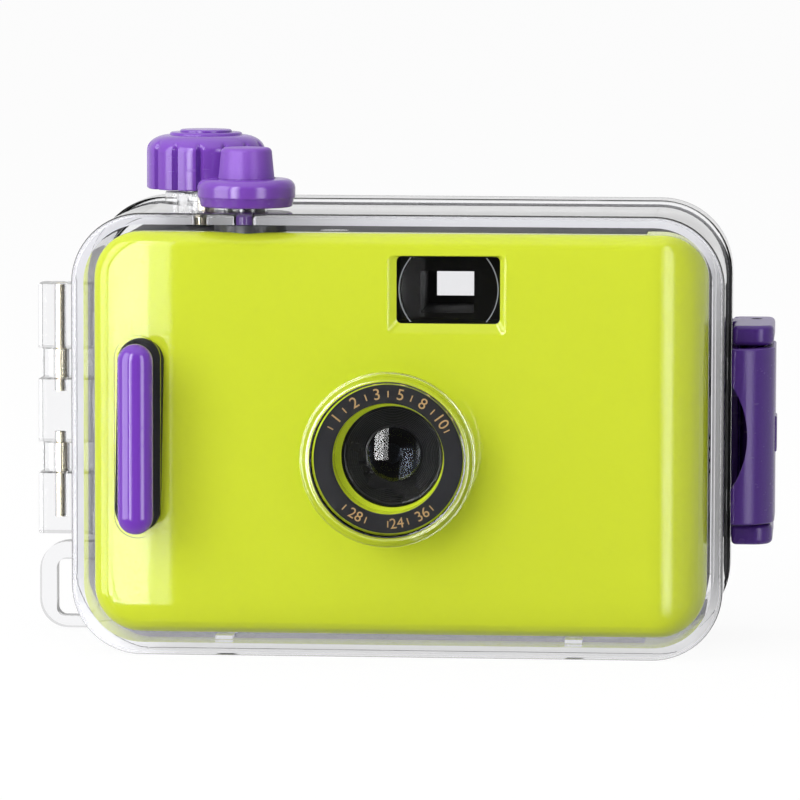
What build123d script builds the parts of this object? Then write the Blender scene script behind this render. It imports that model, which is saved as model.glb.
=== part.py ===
from build123d import *
import math
import os

# Waterproof film camera: a plain 35 mm camera inside a clear hinged case.
# Millimetres. X to the right and Y away from the viewer, seen from the front, and Z up.
# The origin is on the flat bottom of the case, midway between its front face and its rim.

# Camera, and the room round it in its case.
camera_width = 104.8
camera_height = 69.1
camera_corner = 8.0
side_room = 1.1
room_below = 0.6
room_above = 1.8
corner_room = 2.0

# Clear case, front half.
wall = 2.0
case_width = camera_width + 2 * (side_room + wall)
case_height = camera_height + room_below + room_above + 2 * wall
case_corner = camera_corner + corner_room + wall
shell_depth = 34.0
front_edge_round = 0.8
shell_front = -shell_depth / 2
shell_rim = shell_depth / 2
case_side = case_width / 2

# Back lid and its seal.
lid_depth = 10.5
lid_overhang = 0.6
lid_edge_round = 2.0
gasket_thickness = 1.45
gasket_gap = 0.05
gasket_width = 2.0
lid_front = shell_rim + gasket_gap + gasket_thickness
lid_back = lid_front + lid_depth
lid_inside = lid_back - wall
lid_side = case_side + lid_overhang
lid_height = case_height + lid_overhang
lid_corner = case_corner + lid_overhang

# Clearances.
running_gap = 0.05
bond_gap = 0.05
part_gap = 0.3
loose_gap = 0.2

# Hinge on the left.
hinge_reach = 6.15
hinge_x = -case_side - hinge_reach
hinge_y = shell_rim
hinge_pin_radius = 1.0
shell_knuckle_half = 3.65
block_corner = 0.8
lid_knuckle_radius = 3.3
hinge_top = 60.95
upper_block_height = 11.15
middle_block_height = 10.95
lower_block_height = 10.6
lid_knuckle_height = 5.0
knuckle_gap = 0.3
upper_pin_reach = 2.2
lower_pin_reach = 1.6
lower_pin_rise = 2.75

# Strap lug on the lower left.
lug_thickness = 3.4
lug_reach = 9.55
lug_left = -case_side - lug_reach
lug_bottom = 0.4
lug_top = 15.6
lug_corner = 5.0
eye_reach = 6.6
eye_left = -case_side - eye_reach
eye_width = 5.8
eye_bottom = 2.4
eye_height = 10.1
eye_corner = 1.5

# Lens port.
lens_x = -1.35
lens_z = 34.0
port_base_radius = 14.9
port_step_radius = 14.2
port_base_height = 1.0
port_step_height = 1.8
window_radius = 13.3
window_thickness = 1.7
window_proud = 0.2
window_chamfer = 0.25
port_bore_radius = 12.95

# Finger grip.
grip_x = -44.05
grip_z = 37.4
grip_width = 6.7
grip_height = 33.4
grip_proud = 2.5
grip_round = 2.2
plinth_margin = 0.6
plinth_height = 0.9

# Shutter button on the case.
button_y = -4.5
boss_radius = 3.75
boss_height = 1.4
boss_top = case_height + boss_height
stem_radius = 2.0
seal_pocket_radius = 3.3
seal_pocket_depth = 1.6
o_ring_height = 1.15
washer_thickness = 0.3
base_gap = 0.5
base_bottom = case_height + base_gap
base_radius = 8.2
base_lip_radius = 3.4
base_round = 0.4
base_roof = 0.65
collar_height = 3.35
collar_bottom = boss_top + base_roof
collar_top = collar_bottom + collar_height
collar_radius = 8.4
collar_round = 2.4
collar_lip = 0.85
collar_bore_radius = 6.1
collar_mouth_radius = 4.95
cap_flange_radius = 5.8
cap_flange_thickness = 0.8
cap_base_radius = 4.8
cap_top_radius = 4.1
cap_height = 5.2
cap_top = collar_top + cap_height
cap_round = 0.9
cap_hollow_radius = 3.4
cap_roof = 2.8
press_travel = 1.5

# Winder knob on the case.
winder_x = -35.55
winder_y = 12.5
neck_radius = 3.0
neck_height = 2.3
neck_top = case_height + neck_height
knob_bottom = neck_top + part_gap
knob_height = 9.3
knob_radius = 10.3
knob_clearance = 0.4426
button_apart = knob_radius + collar_radius + knob_clearance
button_x = winder_x + math.sqrt(button_apart**2 - (winder_y - button_y) ** 2)
knob_round = 2.8
knob_wall = 1.9
knob_roof = 2.2
knob_hub_radius = 3.2
knob_ring_radius = 6.3
knob_centre_radius = 4.5
knob_ring_height = 0.6
flute_count = 14
flute_radius = 1.1
flute_centre = 10.75
flute_height = 7.0
winder_shaft_radius = 1.5
winder_seal_radius = 2.45
winder_seal_depth = 1.2
clip_thickness = 0.45
clip_radius = 2.9
clip_groove_radius = 1.15
clip_drop = 0.1
clip_mouth = 1.85
blade_width = 2.6
blade_thickness = 0.9
blade_length = 1.95

# Latch on the right.
latch_pin_reach = 4.8
latch_pin_x = case_side + latch_pin_reach
latch_pin_y = 24.6
latch_pin_radius = 1.0
lever_bottom = 20.7
lever_height = 30.55
lever_reach = 8.3
lever_side = case_side + lever_reach
lever_nose_y = 5.6
lever_wall = 2.0
lever_nose_depth = 3.0
lever_sweep_radius = 6.9
lever_barrel_radius = 2.7
ear_height = 3.5
ear_gap = 0.3
ear_front = 9.0
ear_back = 30.2
ear_room = 0.9
ear_reach = 8.0
ear_inner = case_side + ear_room
ear_outer = case_side + ear_reach
ear_round = 1.6
bracket_plate = 1.2
bracket_front = 19.0
grasp_room = 3.6
grasp_reach = case_side + grasp_room
grasp_radius = 16.2
arrow_proud = 0.3
arrow_width = 6.2
ridge_proud = 0.5
lever_tip_x = case_side + ridge_proud + part_gap
ridge_front = 10.2
ridge_depth = 2.0
ridge_height = 3.8
ridge_offset = 11.5
floor_rib_x = 30.0
floor_rib_width = 3.0
floor_rib_length = 20.0
side_rib_depth = 2.0
side_rib_height = 50.0

# Camera in the case.
camera_x = 0.05
camera_bottom = wall + room_below
camera_front = -9.0
cover_depth = 5.1
cover_wrap_depth = 12.1
cover_wrap_width = 10.55
cover_wall = 1.6
cover_left_round = 3.0
cover_right_round = 9.0
nest_gap = 0.15
body_back = 24.6
top_plate_thickness = 2.7
camera_left = camera_x - camera_width / 2
camera_right = camera_x + camera_width / 2
cover_wrap_x = camera_right - cover_wrap_width
camera_top = camera_bottom + camera_height
camera_centre_z = camera_bottom + camera_height / 2
plate_bottom = camera_top - top_plate_thickness
cover_back = camera_front + cover_depth
wrap_back = camera_front + cover_wrap_depth
body_front = camera_front + cover_wall + nest_gap

# Film path.
film_plane = 19.4
door_seat = 20.0
gate_width = 36.6
gate_height = 24.6
film_height = 35.0
chamber_floor = 5.4
chamber_bottom = camera_bottom + chamber_floor
chamber_top = 55.2
cassette_x = 36.0
cassette_y = 9.5
cassette_radius = 13.2
spool_chamber_radius = 11.5
spool_core_radius = 5.5
spool_flange_radius = 7.4
spool_flange_thickness = 1.2
spool_shaft_radius = 2.0
spool_foot = 2.0
spool_slot_width = 1.2
spool_slot_height = 30.0
sprocket_x = -12.0
sprocket_y = 12.9
sprocket_radius = 6.05
sprocket_thickness = 1.6
sprocket_bottom = 47.4
sprocket_teeth = 8
sprocket_tooth_radius = 0.55
sprocket_tooth_reach = 6.25
sprocket_room = 1.3
sprocket_shaft_radius = 1.25
wheel_drop = 3.4
wheel_bottom = plate_bottom - wheel_drop
wheel_thickness = 3.0
wheel_radius = 12.6
wheel_hub_radius = 3.6
wheel_hub_rise = 0.7
wheel_hub_top = camera_top + wheel_hub_rise
wheel_notches = 36
wheel_notch_radius = 0.45
hub_slot_length = 3.0
hub_slot_width = 1.2
hub_slot_depth = 1.7
counter_x = -12.0
counter_y = 4.0
counter_radius = 6.6
counter_drop = 3.0
counter_bottom = plate_bottom - counter_drop
counter_thickness = 1.0
counter_pivot_radius = 1.0
pinion_radius = 1.9
counter_window_radius = 2.5
counter_window_thickness = 1.2

# Film door.
door_left_margin = 2.15
door_right_margin = 2.25
door_bottom_margin = 3.2
door_left = camera_left + door_left_margin
door_right = camera_right - door_right_margin
door_bottom = camera_bottom + door_bottom_margin
door_top = 56.1
door_corner = 3.0
door_skin = 1.8
door_rim = 3.2
door_pin_inset = 1.8
door_pin_x = door_left + door_pin_inset
door_pin_y = 22.4
door_pin_radius = 0.7
door_pin_seat = 1.0
plate_width = 50.0
plate_height = 36.0
plate_corner = 1.5
plate_thickness = 0.8
plate_front = 20.5
spring_strip = 0.35
spring_width = 8.0
spring_length = 36.0
latch_slide_bottom = 22.0
latch_slide_height = 20.0
latch_slide_thickness = 1.3
latch_slide_front = 11.5
latch_slide_back = 18.5
latch_travel = 3.0
latch_groove_count = 4
latch_groove_radius = 0.5
latch_groove_pitch = 2.0

# Lens and shutter.
boss_outer_radius = 12.2
boss_inner_radius = 9.35
boss_front = -15.8
ring_outer_radius = 12.7
ring_inner_radius = 9.5
ring_thickness = 0.8
barrel_radius = 8.9
barrel_front = -11.2
barrel_flange_radius = 10.4
barrel_flange_thickness = 1.0
cone_step_count = 5
cone_front_radius = 8.1
front_lens_radius = 4.6
front_lens_back = -6.9
front_lens_edge = 1.2
front_lens_dome = 1.2
aperture_radius = 1.6
aperture_thickness = 0.4
lens_pocket_radius = 10.5
lens_pocket_floor = -4.9
rear_lens_radius = 4.4
rear_lens_front = -4.7
rear_lens_thickness = 2.2
rear_lens_dome = 0.5
tunnel_front = -2.4
tunnel_front_width = 12.0
tunnel_front_height = 9.0
shutter_blade_thickness = 0.3
shutter_pivot_offset = 6.6
shutter_pivot_radius = 0.6
shutter_blade_radius = 2.2
shutter_arm_width = 1.6
shutter_eye_radius = 1.3
shutter_pin_seat = 1.0

# Viewfinder.
finder_x = 8.25
finder_drop = 9.5
finder_z = camera_top - finder_drop
finder_width = 17.7
finder_height = 11.5
finder_wall = 0.6
finder_front = -8.1
finder_step = 2.0
finder_back = 24.4
recess_width = 21.0
recess_height = 15.0
recess_depth = 0.9
recess_taper = 30.0
recess_corner = 2.0
eye_x = 7.5
eye_drop = 1.0
eye_z = finder_z - eye_drop
eye_open_width = 9.0
eye_open_height = 7.0
eye_wall = 0.9
finder_lens_front = -7.6
finder_lens_thickness = 1.5
eye_lens_thickness = 1.5

# Release button on the camera.
release_offset_x = 0.35
release_offset_y = 3.6
release_x = button_x + release_offset_x
release_y = button_y + release_offset_y
release_radius = 6.2
release_spare = 0.4
release_bottom = plate_bottom + press_travel + release_spare
release_rise = 1.35
release_top = camera_top + release_rise
release_round = 0.4
release_stem_offset_x = 1.75
release_stem_offset_y = 1.5
release_stem_x = button_x + release_stem_offset_x
release_stem_y = button_y + release_stem_offset_y
release_stem_radius = 1.0
release_pocket_radius = 2.5
release_pocket_depth = 8.5
release_pocket_bottom = plate_bottom - release_pocket_depth
release_stem_spare = 1.0
release_stem_bottom = release_pocket_bottom + press_travel + release_stem_spare

# Rewind shaft and folded crank.
rewind_disc_radius = 8.5
rewind_disc_bottom = camera_bottom + part_gap
rewind_disc_thickness = 1.7
rewind_shaft_radius = 2.0
fork_height = 6.0
fork_top = chamber_bottom + fork_height
fork_radius = 2.4
fork_slot = 1.4
crank_length = 13.0
crank_width = 3.2
crank_thickness = 1.1
crank_pin_radius = 0.3
crank_pin_seat = 0.6
crank_pin_inset = 1.2

# Small screws and the pad behind the grip.
screw_head_radius = 1.6
screw_head_height = 1.0
screw_shank_radius = 0.9
screw_length = 9.0
screw_inset = 6.4
screw_drop = 9.2
screw_x = camera_width / 2 - screw_inset
screw_z = camera_top - screw_drop
pad_x = -44.9
pad_z = 36.8
pad_width = 8.0
pad_height = 33.6
pad_thickness = 0.8

os.makedirs("parts", exist_ok=True)


def facing(y, x=0.0, z=0.0):
    """Plane at depth y, seen from the front: local x is X, local y is Z, its normal points forwards."""
    return Plane(origin=(x, y, z), x_dir=(1, 0, 0), z_dir=(0, -1, 0))


def level(z, x=0.0, y=0.0):
    """Level plane at height z, centred on (x, y)."""
    return Plane(origin=(x, y, z))


def upright_section(x, y):
    """Plane for a profile of radius and height about the upright axis through (x, y)."""
    return Plane(origin=(x, y, 0), x_dir=(1, 0, 0), z_dir=(0, -1, 0))


def lens_section():
    """Plane for a profile of radius and depth about the lens axis."""
    return Plane(origin=(lens_x, 0, lens_z), x_dir=(1, 0, 0), z_dir=(0, 0, 1))


def ring(plane, outer, inner, height):
    """Plain ring of the given height on a plane."""
    with BuildPart() as piece:
        with BuildSketch(plane):
            Circle(outer)
            Circle(inner, mode=Mode.SUBTRACT)
        extrude(amount=height)
    return piece


def slab(low_x, high_x, low_y, high_y, low_z, high_z, mode=Mode.ADD):
    """Box between two corners."""
    with Locations(((low_x + high_x) / 2, (low_y + high_y) / 2, (low_z + high_z) / 2)):
        return Box(high_x - low_x, high_y - low_y, high_z - low_z, mode=mode)


lens_axis = Axis((lens_x, 0, lens_z), (0, 1, 0))
button_axis = Axis((button_x, button_y, 0), (0, 0, 1))
case_middle = case_height / 2
inner_width = case_width - 2 * wall
inner_height = case_height - 2 * wall
knuckle_reach = -case_side - hinge_x
upper_block_bottom = hinge_top - upper_block_height
upper_knuckle_bottom = upper_block_bottom - knuckle_gap - lid_knuckle_height
middle_block_bottom = upper_knuckle_bottom - knuckle_gap - middle_block_height
lower_knuckle_bottom = middle_block_bottom - knuckle_gap - lid_knuckle_height
lower_block_bottom = lower_knuckle_bottom - knuckle_gap - lower_block_height
upper_pin_bottom = upper_knuckle_bottom - knuckle_gap - upper_pin_reach
lower_pin_top = middle_block_bottom + lower_pin_reach
lower_pin_bottom = lower_block_bottom + lower_pin_rise
ridge_middle = lever_bottom + lever_height / 2

# Front shell: an open clear box with everything that is moulded on it.
with BuildPart() as front_shell:
    with BuildSketch(facing(shell_rim, z=case_middle)):
        RectangleRounded(case_width, case_height, case_corner)
    extrude(amount=shell_depth)
    fillet(front_shell.faces().sort_by(Axis.Y)[0].edges(), front_edge_round)
    # Strap lug, flush with the rim.
    with BuildSketch(facing(shell_rim)) as lug_outline:
        lug_right = -case_side + case_corner
        with Locations(((lug_left + lug_right) / 2, (lug_bottom + lug_top) / 2)):
            Rectangle(lug_right - lug_left, lug_top - lug_bottom)
        fillet(lug_outline.vertices().group_by(Axis.X)[0], lug_corner)
    extrude(amount=lug_thickness)
    with BuildSketch(facing(shell_rim)):
        with Locations((eye_left + eye_width / 2, eye_bottom + eye_height / 2)):
            RectangleRounded(eye_width, eye_height, eye_corner)
    extrude(amount=lug_thickness, mode=Mode.SUBTRACT)
    # Square hinge knuckles and their webs: the first, third and fifth from the top.
    for bottom, height in (
        (upper_block_bottom, upper_block_height),
        (middle_block_bottom, middle_block_height),
        (lower_block_bottom, lower_block_height),
    ):
        with BuildSketch(level(bottom, hinge_x, hinge_y)) as block_outline:
            Rectangle(2 * shell_knuckle_half, 2 * shell_knuckle_half)
            fillet(block_outline.vertices().group_by(Axis.X)[0], block_corner)
            with Locations((knuckle_reach / 2, -shell_knuckle_half / 2)):
                Rectangle(knuckle_reach + wall, shell_knuckle_half)
        extrude(amount=height)
    # The box is hollow from its rim.
    with BuildSketch(facing(shell_rim, z=case_middle)):
        RectangleRounded(inner_width, inner_height, case_corner - wall)
    extrude(amount=shell_depth - wall, mode=Mode.SUBTRACT)
    # Bores for the two hinge pins.
    with BuildSketch(level(upper_pin_bottom, hinge_x, hinge_y)):
        Circle(hinge_pin_radius + bond_gap)
    extrude(amount=hinge_top - upper_pin_bottom, mode=Mode.SUBTRACT)
    with BuildSketch(level(lower_pin_bottom, hinge_x, hinge_y)):
        Circle(hinge_pin_radius + bond_gap)
    extrude(amount=lower_pin_top - lower_pin_bottom, mode=Mode.SUBTRACT)
    # Lens port: two steps outside, a counterbore for the window and a bore behind it.
    with BuildSketch(facing(shell_front, lens_x, lens_z)):
        Circle(port_base_radius)
    extrude(amount=port_base_height)
    with BuildSketch(facing(shell_front, lens_x, lens_z)):
        Circle(port_step_radius)
    extrude(amount=port_step_height)
    with BuildSketch(facing(shell_front + wall, lens_x, lens_z)):
        Circle(port_bore_radius)
    extrude(amount=wall + port_step_height, mode=Mode.SUBTRACT)
    window_seat = shell_front - port_step_height - window_proud + window_thickness
    with BuildSketch(facing(window_seat, lens_x, lens_z)):
        Circle(window_radius + bond_gap)
    extrude(amount=window_thickness, mode=Mode.SUBTRACT)
    # Plinth under the finger grip.
    with BuildSketch(facing(shell_front, grip_x, grip_z)):
        SlotOverall(grip_height + 2 * plinth_margin, grip_width + 2 * plinth_margin, rotation=90)
    extrude(amount=plinth_height)
    # Boss for the shutter button, with its bore and the pocket for its seal.
    with BuildSketch(level(case_height - wall / 2, button_x, button_y)):
        Circle(boss_radius)
    extrude(amount=boss_height + wall / 2)
    with BuildSketch(level(case_height - wall, button_x, button_y)):
        Circle(stem_radius + running_gap)
    extrude(amount=wall + boss_height, mode=Mode.SUBTRACT)
    with BuildSketch(level(boss_top - seal_pocket_depth, button_x, button_y)):
        Circle(seal_pocket_radius)
    extrude(amount=seal_pocket_depth, mode=Mode.SUBTRACT)
    # Neck for the winder, with its bore and the pocket for its seal.
    with BuildSketch(level(case_height - wall / 2, winder_x, winder_y)):
        Circle(neck_radius)
    extrude(amount=neck_top - case_height + wall / 2)
    with BuildSketch(level(case_height - wall, winder_x, winder_y)):
        Circle(winder_shaft_radius + running_gap)
    extrude(amount=neck_top - case_height + wall, mode=Mode.SUBTRACT)
    with BuildSketch(level(neck_top - winder_seal_depth, winder_x, winder_y)):
        Circle(winder_seal_radius)
    extrude(amount=winder_seal_depth, mode=Mode.SUBTRACT)
    # Catch ridges on the right wall.
    with Locations(*[(case_side, ridge_front, ridge_middle + side * ridge_offset) for side in (-1, 1)]):
        Box(2 * ridge_proud, ridge_depth, ridge_height, align=(Align.CENTER, Align.MIN, Align.CENTER))
    # Ribs inside that the camera stands on and is centred by.
    with Locations(*[(side * floor_rib_x, 0, wall) for side in (-1, 1)]):
        Box(
            floor_rib_width,
            floor_rib_length,
            camera_bottom - wall,
            align=(Align.CENTER, Align.CENTER, Align.MIN),
        )
    side_rib_y = shell_rim - floor_rib_length / 2
    rib_low = camera_centre_z - side_rib_height / 2
    rib_high = camera_centre_z + side_rib_height / 2
    rib_front = side_rib_y - side_rib_depth / 2
    rib_back = side_rib_y + side_rib_depth / 2
    slab(-inner_width / 2, camera_left, rib_front, rib_back, rib_low, rib_high)
    slab(camera_right, inner_width / 2, rib_front, rib_back, rib_low, rib_high)
front_shell.part.label = "front_shell"
export_step(front_shell.part, "parts/front_shell.step")

# Port window: a clear disc bonded in the port.
with BuildPart() as port_window:
    with BuildSketch(facing(window_seat, lens_x, lens_z)):
        Circle(window_radius)
    extrude(amount=window_thickness)
    chamfer(port_window.faces().sort_by(Axis.Y)[0].edges(), window_chamfer)
port_window.part.label = "port_window"
export_step(port_window.part, "parts/port_window.step")

# Grip bar: a domed bar on the clear plinth.
with BuildPart() as grip_bar:
    with BuildSketch(facing(shell_front - plinth_height, grip_x, grip_z)):
        SlotOverall(grip_height, grip_width, rotation=90)
    extrude(amount=grip_proud)
    fillet(grip_bar.faces().sort_by(Axis.Y)[0].edges(), grip_round)
grip_bar.part.label = "grip_bar"
export_step(grip_bar.part, "parts/grip_bar.step")

# Shutter base: the ring screwed on the boss.
with BuildPart() as shutter_base:
    with BuildSketch(level(base_bottom, button_x, button_y)):
        Circle(base_radius)
        Circle(boss_radius + bond_gap, mode=Mode.SUBTRACT)
    extrude(amount=boss_top - base_bottom)
    with BuildSketch(level(boss_top, button_x, button_y)):
        Circle(base_radius)
        Circle(base_lip_radius, mode=Mode.SUBTRACT)
    extrude(amount=collar_bottom - boss_top)
    fillet(shutter_base.faces().sort_by(Axis.Z)[0].edges().sort_by(SortBy.RADIUS)[-1], base_round)
shutter_base.part.label = "shutter_base"
export_step(shutter_base.part, "parts/shutter_base.step")

# Shutter collar: the guard round the button, whose lip keeps the button in.
with BuildPart() as shutter_collar:
    with BuildSketch(level(collar_bottom, button_x, button_y)):
        Circle(collar_radius)
    extrude(amount=collar_top - collar_bottom)
    fillet(shutter_collar.faces().sort_by(Axis.Z)[-1].edges(), collar_round)
    with BuildSketch(level(collar_bottom, button_x, button_y)):
        Circle(collar_bore_radius)
    extrude(amount=collar_top - collar_bottom - collar_lip, mode=Mode.SUBTRACT)
    with BuildSketch(level(collar_bottom, button_x, button_y)):
        Circle(collar_mouth_radius)
    extrude(amount=collar_top - collar_bottom, mode=Mode.SUBTRACT)
shutter_collar.part.label = "shutter_collar"
export_step(shutter_collar.part, "parts/shutter_collar.step")

# Shutter button: a tapered cap with a flange, a hollow for the spring and a stem.
flange_top = collar_top - collar_lip - running_gap
flange_bottom = flange_top - cap_flange_thickness
cap_ceiling = cap_top - cap_roof
with BuildPart() as shutter_button:
    with BuildSketch(upright_section(button_x, button_y)):
        with BuildLine():
            Polyline(
                (0, release_top + running_gap),
                (stem_radius, release_top + running_gap),
                (stem_radius, cap_ceiling),
                (cap_hollow_radius, cap_ceiling),
                (cap_hollow_radius, flange_bottom),
                (cap_flange_radius, flange_bottom),
                (cap_flange_radius, flange_top),
                (cap_base_radius, flange_top),
                (cap_base_radius, collar_top),
                (cap_top_radius, cap_top),
                (0, cap_top),
                close=True,
            )
        make_face()
    revolve(axis=button_axis)
    fillet(shutter_button.faces().sort_by(Axis.Z)[-1].edges(), cap_round)
shutter_button.part.label = "shutter_button"
export_step(shutter_button.part, "parts/shutter_button.step")

# Seal, washer and spring round the button's stem.
seal_floor = boss_top - seal_pocket_depth
shutter_o_ring = ring(
    level(seal_floor, button_x, button_y),
    seal_pocket_radius - bond_gap,
    stem_radius + running_gap,
    o_ring_height,
)
shutter_o_ring.part.label = "shutter_o_ring"
export_step(shutter_o_ring.part, "parts/shutter_o_ring.step")

washer_bottom = boss_top - washer_thickness
shutter_washer = ring(
    level(washer_bottom, button_x, button_y),
    seal_pocket_radius - bond_gap,
    stem_radius + loose_gap,
    washer_thickness,
)
shutter_washer.part.label = "shutter_washer"
export_step(shutter_washer.part, "parts/shutter_washer.step")

shutter_spring = ring(
    level(boss_top, button_x, button_y),
    cap_hollow_radius - loose_gap,
    stem_radius + loose_gap,
    cap_ceiling - boss_top - running_gap,
)
shutter_spring.part.label = "shutter_spring"
export_step(shutter_spring.part, "parts/shutter_spring.step")

# Winder knob: a fluted cup with a hub inside and two low rings on top.
knob_top = knob_bottom + knob_height
with BuildPart() as winder_knob:
    with BuildSketch(level(knob_bottom, winder_x, winder_y)):
        Circle(knob_radius)
    extrude(amount=knob_height)
    fillet(winder_knob.faces().sort_by(Axis.Z)[-1].edges(), knob_round)
    for number, ring_radius in enumerate((knob_ring_radius, knob_centre_radius)):
        with BuildSketch(level(knob_top + number * knob_ring_height, winder_x, winder_y)):
            Circle(ring_radius)
        extrude(amount=knob_ring_height)
    with BuildSketch(level(knob_bottom, winder_x, winder_y)):
        Circle(knob_radius - knob_wall)
        Circle(knob_hub_radius, mode=Mode.SUBTRACT)
    extrude(amount=knob_height - knob_roof, mode=Mode.SUBTRACT)
    with BuildSketch(level(knob_bottom, winder_x, winder_y)):
        with PolarLocations(flute_centre, flute_count):
            Circle(flute_radius)
    extrude(amount=flute_height, mode=Mode.SUBTRACT)
    with BuildSketch(level(knob_bottom, winder_x, winder_y)):
        Circle(winder_shaft_radius)
    extrude(amount=knob_height - knob_roof, mode=Mode.SUBTRACT)
winder_knob.part.label = "winder_knob"
export_step(winder_knob.part, "parts/winder_knob.step")

# Winder shaft: pressed in the knob, grooved for its clip, with a flat blade at its foot.
clip_top = case_height - wall - clip_drop
clip_bottom = clip_top - clip_thickness
blade_top = clip_bottom - running_gap
with BuildPart() as winder_shaft:
    with BuildSketch(level(blade_top, winder_x, winder_y)):
        Circle(winder_shaft_radius)
    extrude(amount=knob_top - knob_roof - blade_top)
    with BuildSketch(level(clip_bottom - running_gap, winder_x, winder_y)):
        Circle(winder_shaft_radius + running_gap)
        Circle(clip_groove_radius, mode=Mode.SUBTRACT)
    extrude(amount=clip_thickness + 2 * running_gap, mode=Mode.SUBTRACT)
    with BuildSketch(level(blade_top, winder_x, winder_y)):
        Rectangle(blade_width, blade_thickness)
    extrude(amount=-blade_length)
winder_shaft.part.label = "winder_shaft"
export_step(winder_shaft.part, "parts/winder_shaft.step")

# Winder clip: an open ring in the shaft's groove, under the top wall.
with BuildPart() as winder_clip:
    with BuildSketch(level(clip_bottom, winder_x, winder_y)):
        Circle(clip_radius)
        Circle(clip_groove_radius + running_gap, mode=Mode.SUBTRACT)
        with Locations((clip_radius / 2, 0)):
            Rectangle(clip_radius, clip_mouth, mode=Mode.SUBTRACT)
    extrude(amount=clip_thickness)
winder_clip.part.label = "winder_clip"
export_step(winder_clip.part, "parts/winder_clip.step")

winder_o_ring = ring(
    level(neck_top - winder_seal_depth, winder_x, winder_y),
    winder_seal_radius - bond_gap,
    winder_shaft_radius + running_gap,
    winder_seal_depth - running_gap,
)
winder_o_ring.part.label = "winder_o_ring"
export_step(winder_o_ring.part, "parts/winder_o_ring.step")

# Hinge pins: the upper one from the top knuckle down, the lower one in the two low knuckles.
with BuildPart() as hinge_pin_upper:
    with BuildSketch(level(upper_pin_bottom, hinge_x, hinge_y)):
        Circle(hinge_pin_radius)
    extrude(amount=hinge_top - upper_pin_bottom)
hinge_pin_upper.part.label = "hinge_pin_upper"
export_step(hinge_pin_upper.part, "parts/hinge_pin_upper.step")

with BuildPart() as hinge_pin_lower:
    with BuildSketch(level(lower_pin_bottom, hinge_x, hinge_y)):
        Circle(hinge_pin_radius)
    extrude(amount=lower_pin_top - lower_pin_bottom)
hinge_pin_lower.part.label = "hinge_pin_lower"
export_step(hinge_pin_lower.part, "parts/hinge_pin_lower.step")

# Back lid: a shallow clear tray with two round knuckles and the pads that hold the camera.
lid_middle = lid_height / 2
leaf_front = gasket_gap + gasket_thickness
with BuildPart() as back_lid:
    with BuildSketch(facing(lid_back, z=lid_middle)):
        RectangleRounded(2 * lid_side, lid_height, lid_corner)
    extrude(amount=lid_depth)
    fillet(back_lid.faces().sort_by(Axis.Y)[-1].edges(), lid_edge_round)
    for bottom in (upper_knuckle_bottom, lower_knuckle_bottom):
        with BuildSketch(level(bottom, hinge_x, hinge_y)):
            Circle(lid_knuckle_radius)
            with Locations((0, leaf_front)):
                Rectangle(
                    -lid_side - hinge_x + wall / 2,
                    lid_knuckle_radius - leaf_front,
                    align=(Align.MIN, Align.MIN),
                )
            Circle(hinge_pin_radius + running_gap, mode=Mode.SUBTRACT)
        extrude(amount=lid_knuckle_height)
    with BuildSketch(facing(lid_inside, z=lid_middle)):
        RectangleRounded(2 * (lid_side - wall), lid_height - 2 * wall, lid_corner - wall)
    extrude(amount=lid_depth - wall, mode=Mode.SUBTRACT)
    with Locations(*[(side * floor_rib_x, lid_inside, camera_centre_z) for side in (-1, 1)]):
        Box(
            floor_rib_width,
            lid_inside - body_back - loose_gap,
            side_rib_height,
            align=(Align.CENTER, Align.MAX, Align.CENTER),
        )
back_lid.part.label = "back_lid"
export_step(back_lid.part, "parts/back_lid.step")

# Gasket: a flat black frame on the lid's rim.
with BuildPart() as lid_gasket:
    with BuildSketch(facing(lid_front, z=lid_middle + bond_gap)):
        RectangleRounded(2 * lid_side, lid_height - 2 * bond_gap, lid_corner)
        RectangleRounded(
            2 * (lid_side - gasket_width),
            lid_height - 2 * gasket_width,
            lid_corner - gasket_width,
            mode=Mode.SUBTRACT,
        )
    extrude(amount=gasket_thickness)
lid_gasket.part.label = "lid_gasket"
export_step(lid_gasket.part, "parts/lid_gasket.step")

# Latch bracket: a plate on the lid's right side with two ears that carry the pin.
lever_top = lever_bottom + lever_height
with BuildPart() as latch_bracket:
    for ear_bottom in (lever_bottom - ear_gap - ear_height, lever_top + ear_gap):
        with BuildSketch(level(ear_bottom)) as ear_outline:
            with Locations(((ear_inner + ear_outer) / 2, (ear_front + ear_back) / 2)):
                Rectangle(ear_outer - ear_inner, ear_back - ear_front)
            fillet(ear_outline.vertices().group_by(Axis.X)[-1], ear_round)
        extrude(amount=ear_height)
    with Locations((lid_side, bracket_front, lever_bottom - ear_gap - ear_height)):
        Box(
            bracket_plate,
            lid_back - lid_edge_round - bracket_front,
            lever_height + 2 * ear_gap + 2 * ear_height,
            align=(Align.MIN, Align.MIN, Align.MIN),
        )
    with BuildSketch(level(lever_bottom - ear_gap - ear_height, latch_pin_x, latch_pin_y)):
        Circle(latch_pin_radius + bond_gap)
    extrude(amount=lever_height + 2 * ear_gap + 2 * ear_height, mode=Mode.SUBTRACT)
latch_bracket.part.label = "latch_bracket"
export_step(latch_bracket.part, "parts/latch_bracket.step")

with BuildPart() as latch_pin:
    with BuildSketch(level(lever_bottom - ear_gap - ear_height, latch_pin_x, latch_pin_y)):
        Circle(latch_pin_radius)
    extrude(amount=lever_height + 2 * ear_gap + 2 * ear_height)
latch_pin.part.label = "latch_pin"
export_step(latch_pin.part, "parts/latch_pin.step")

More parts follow.
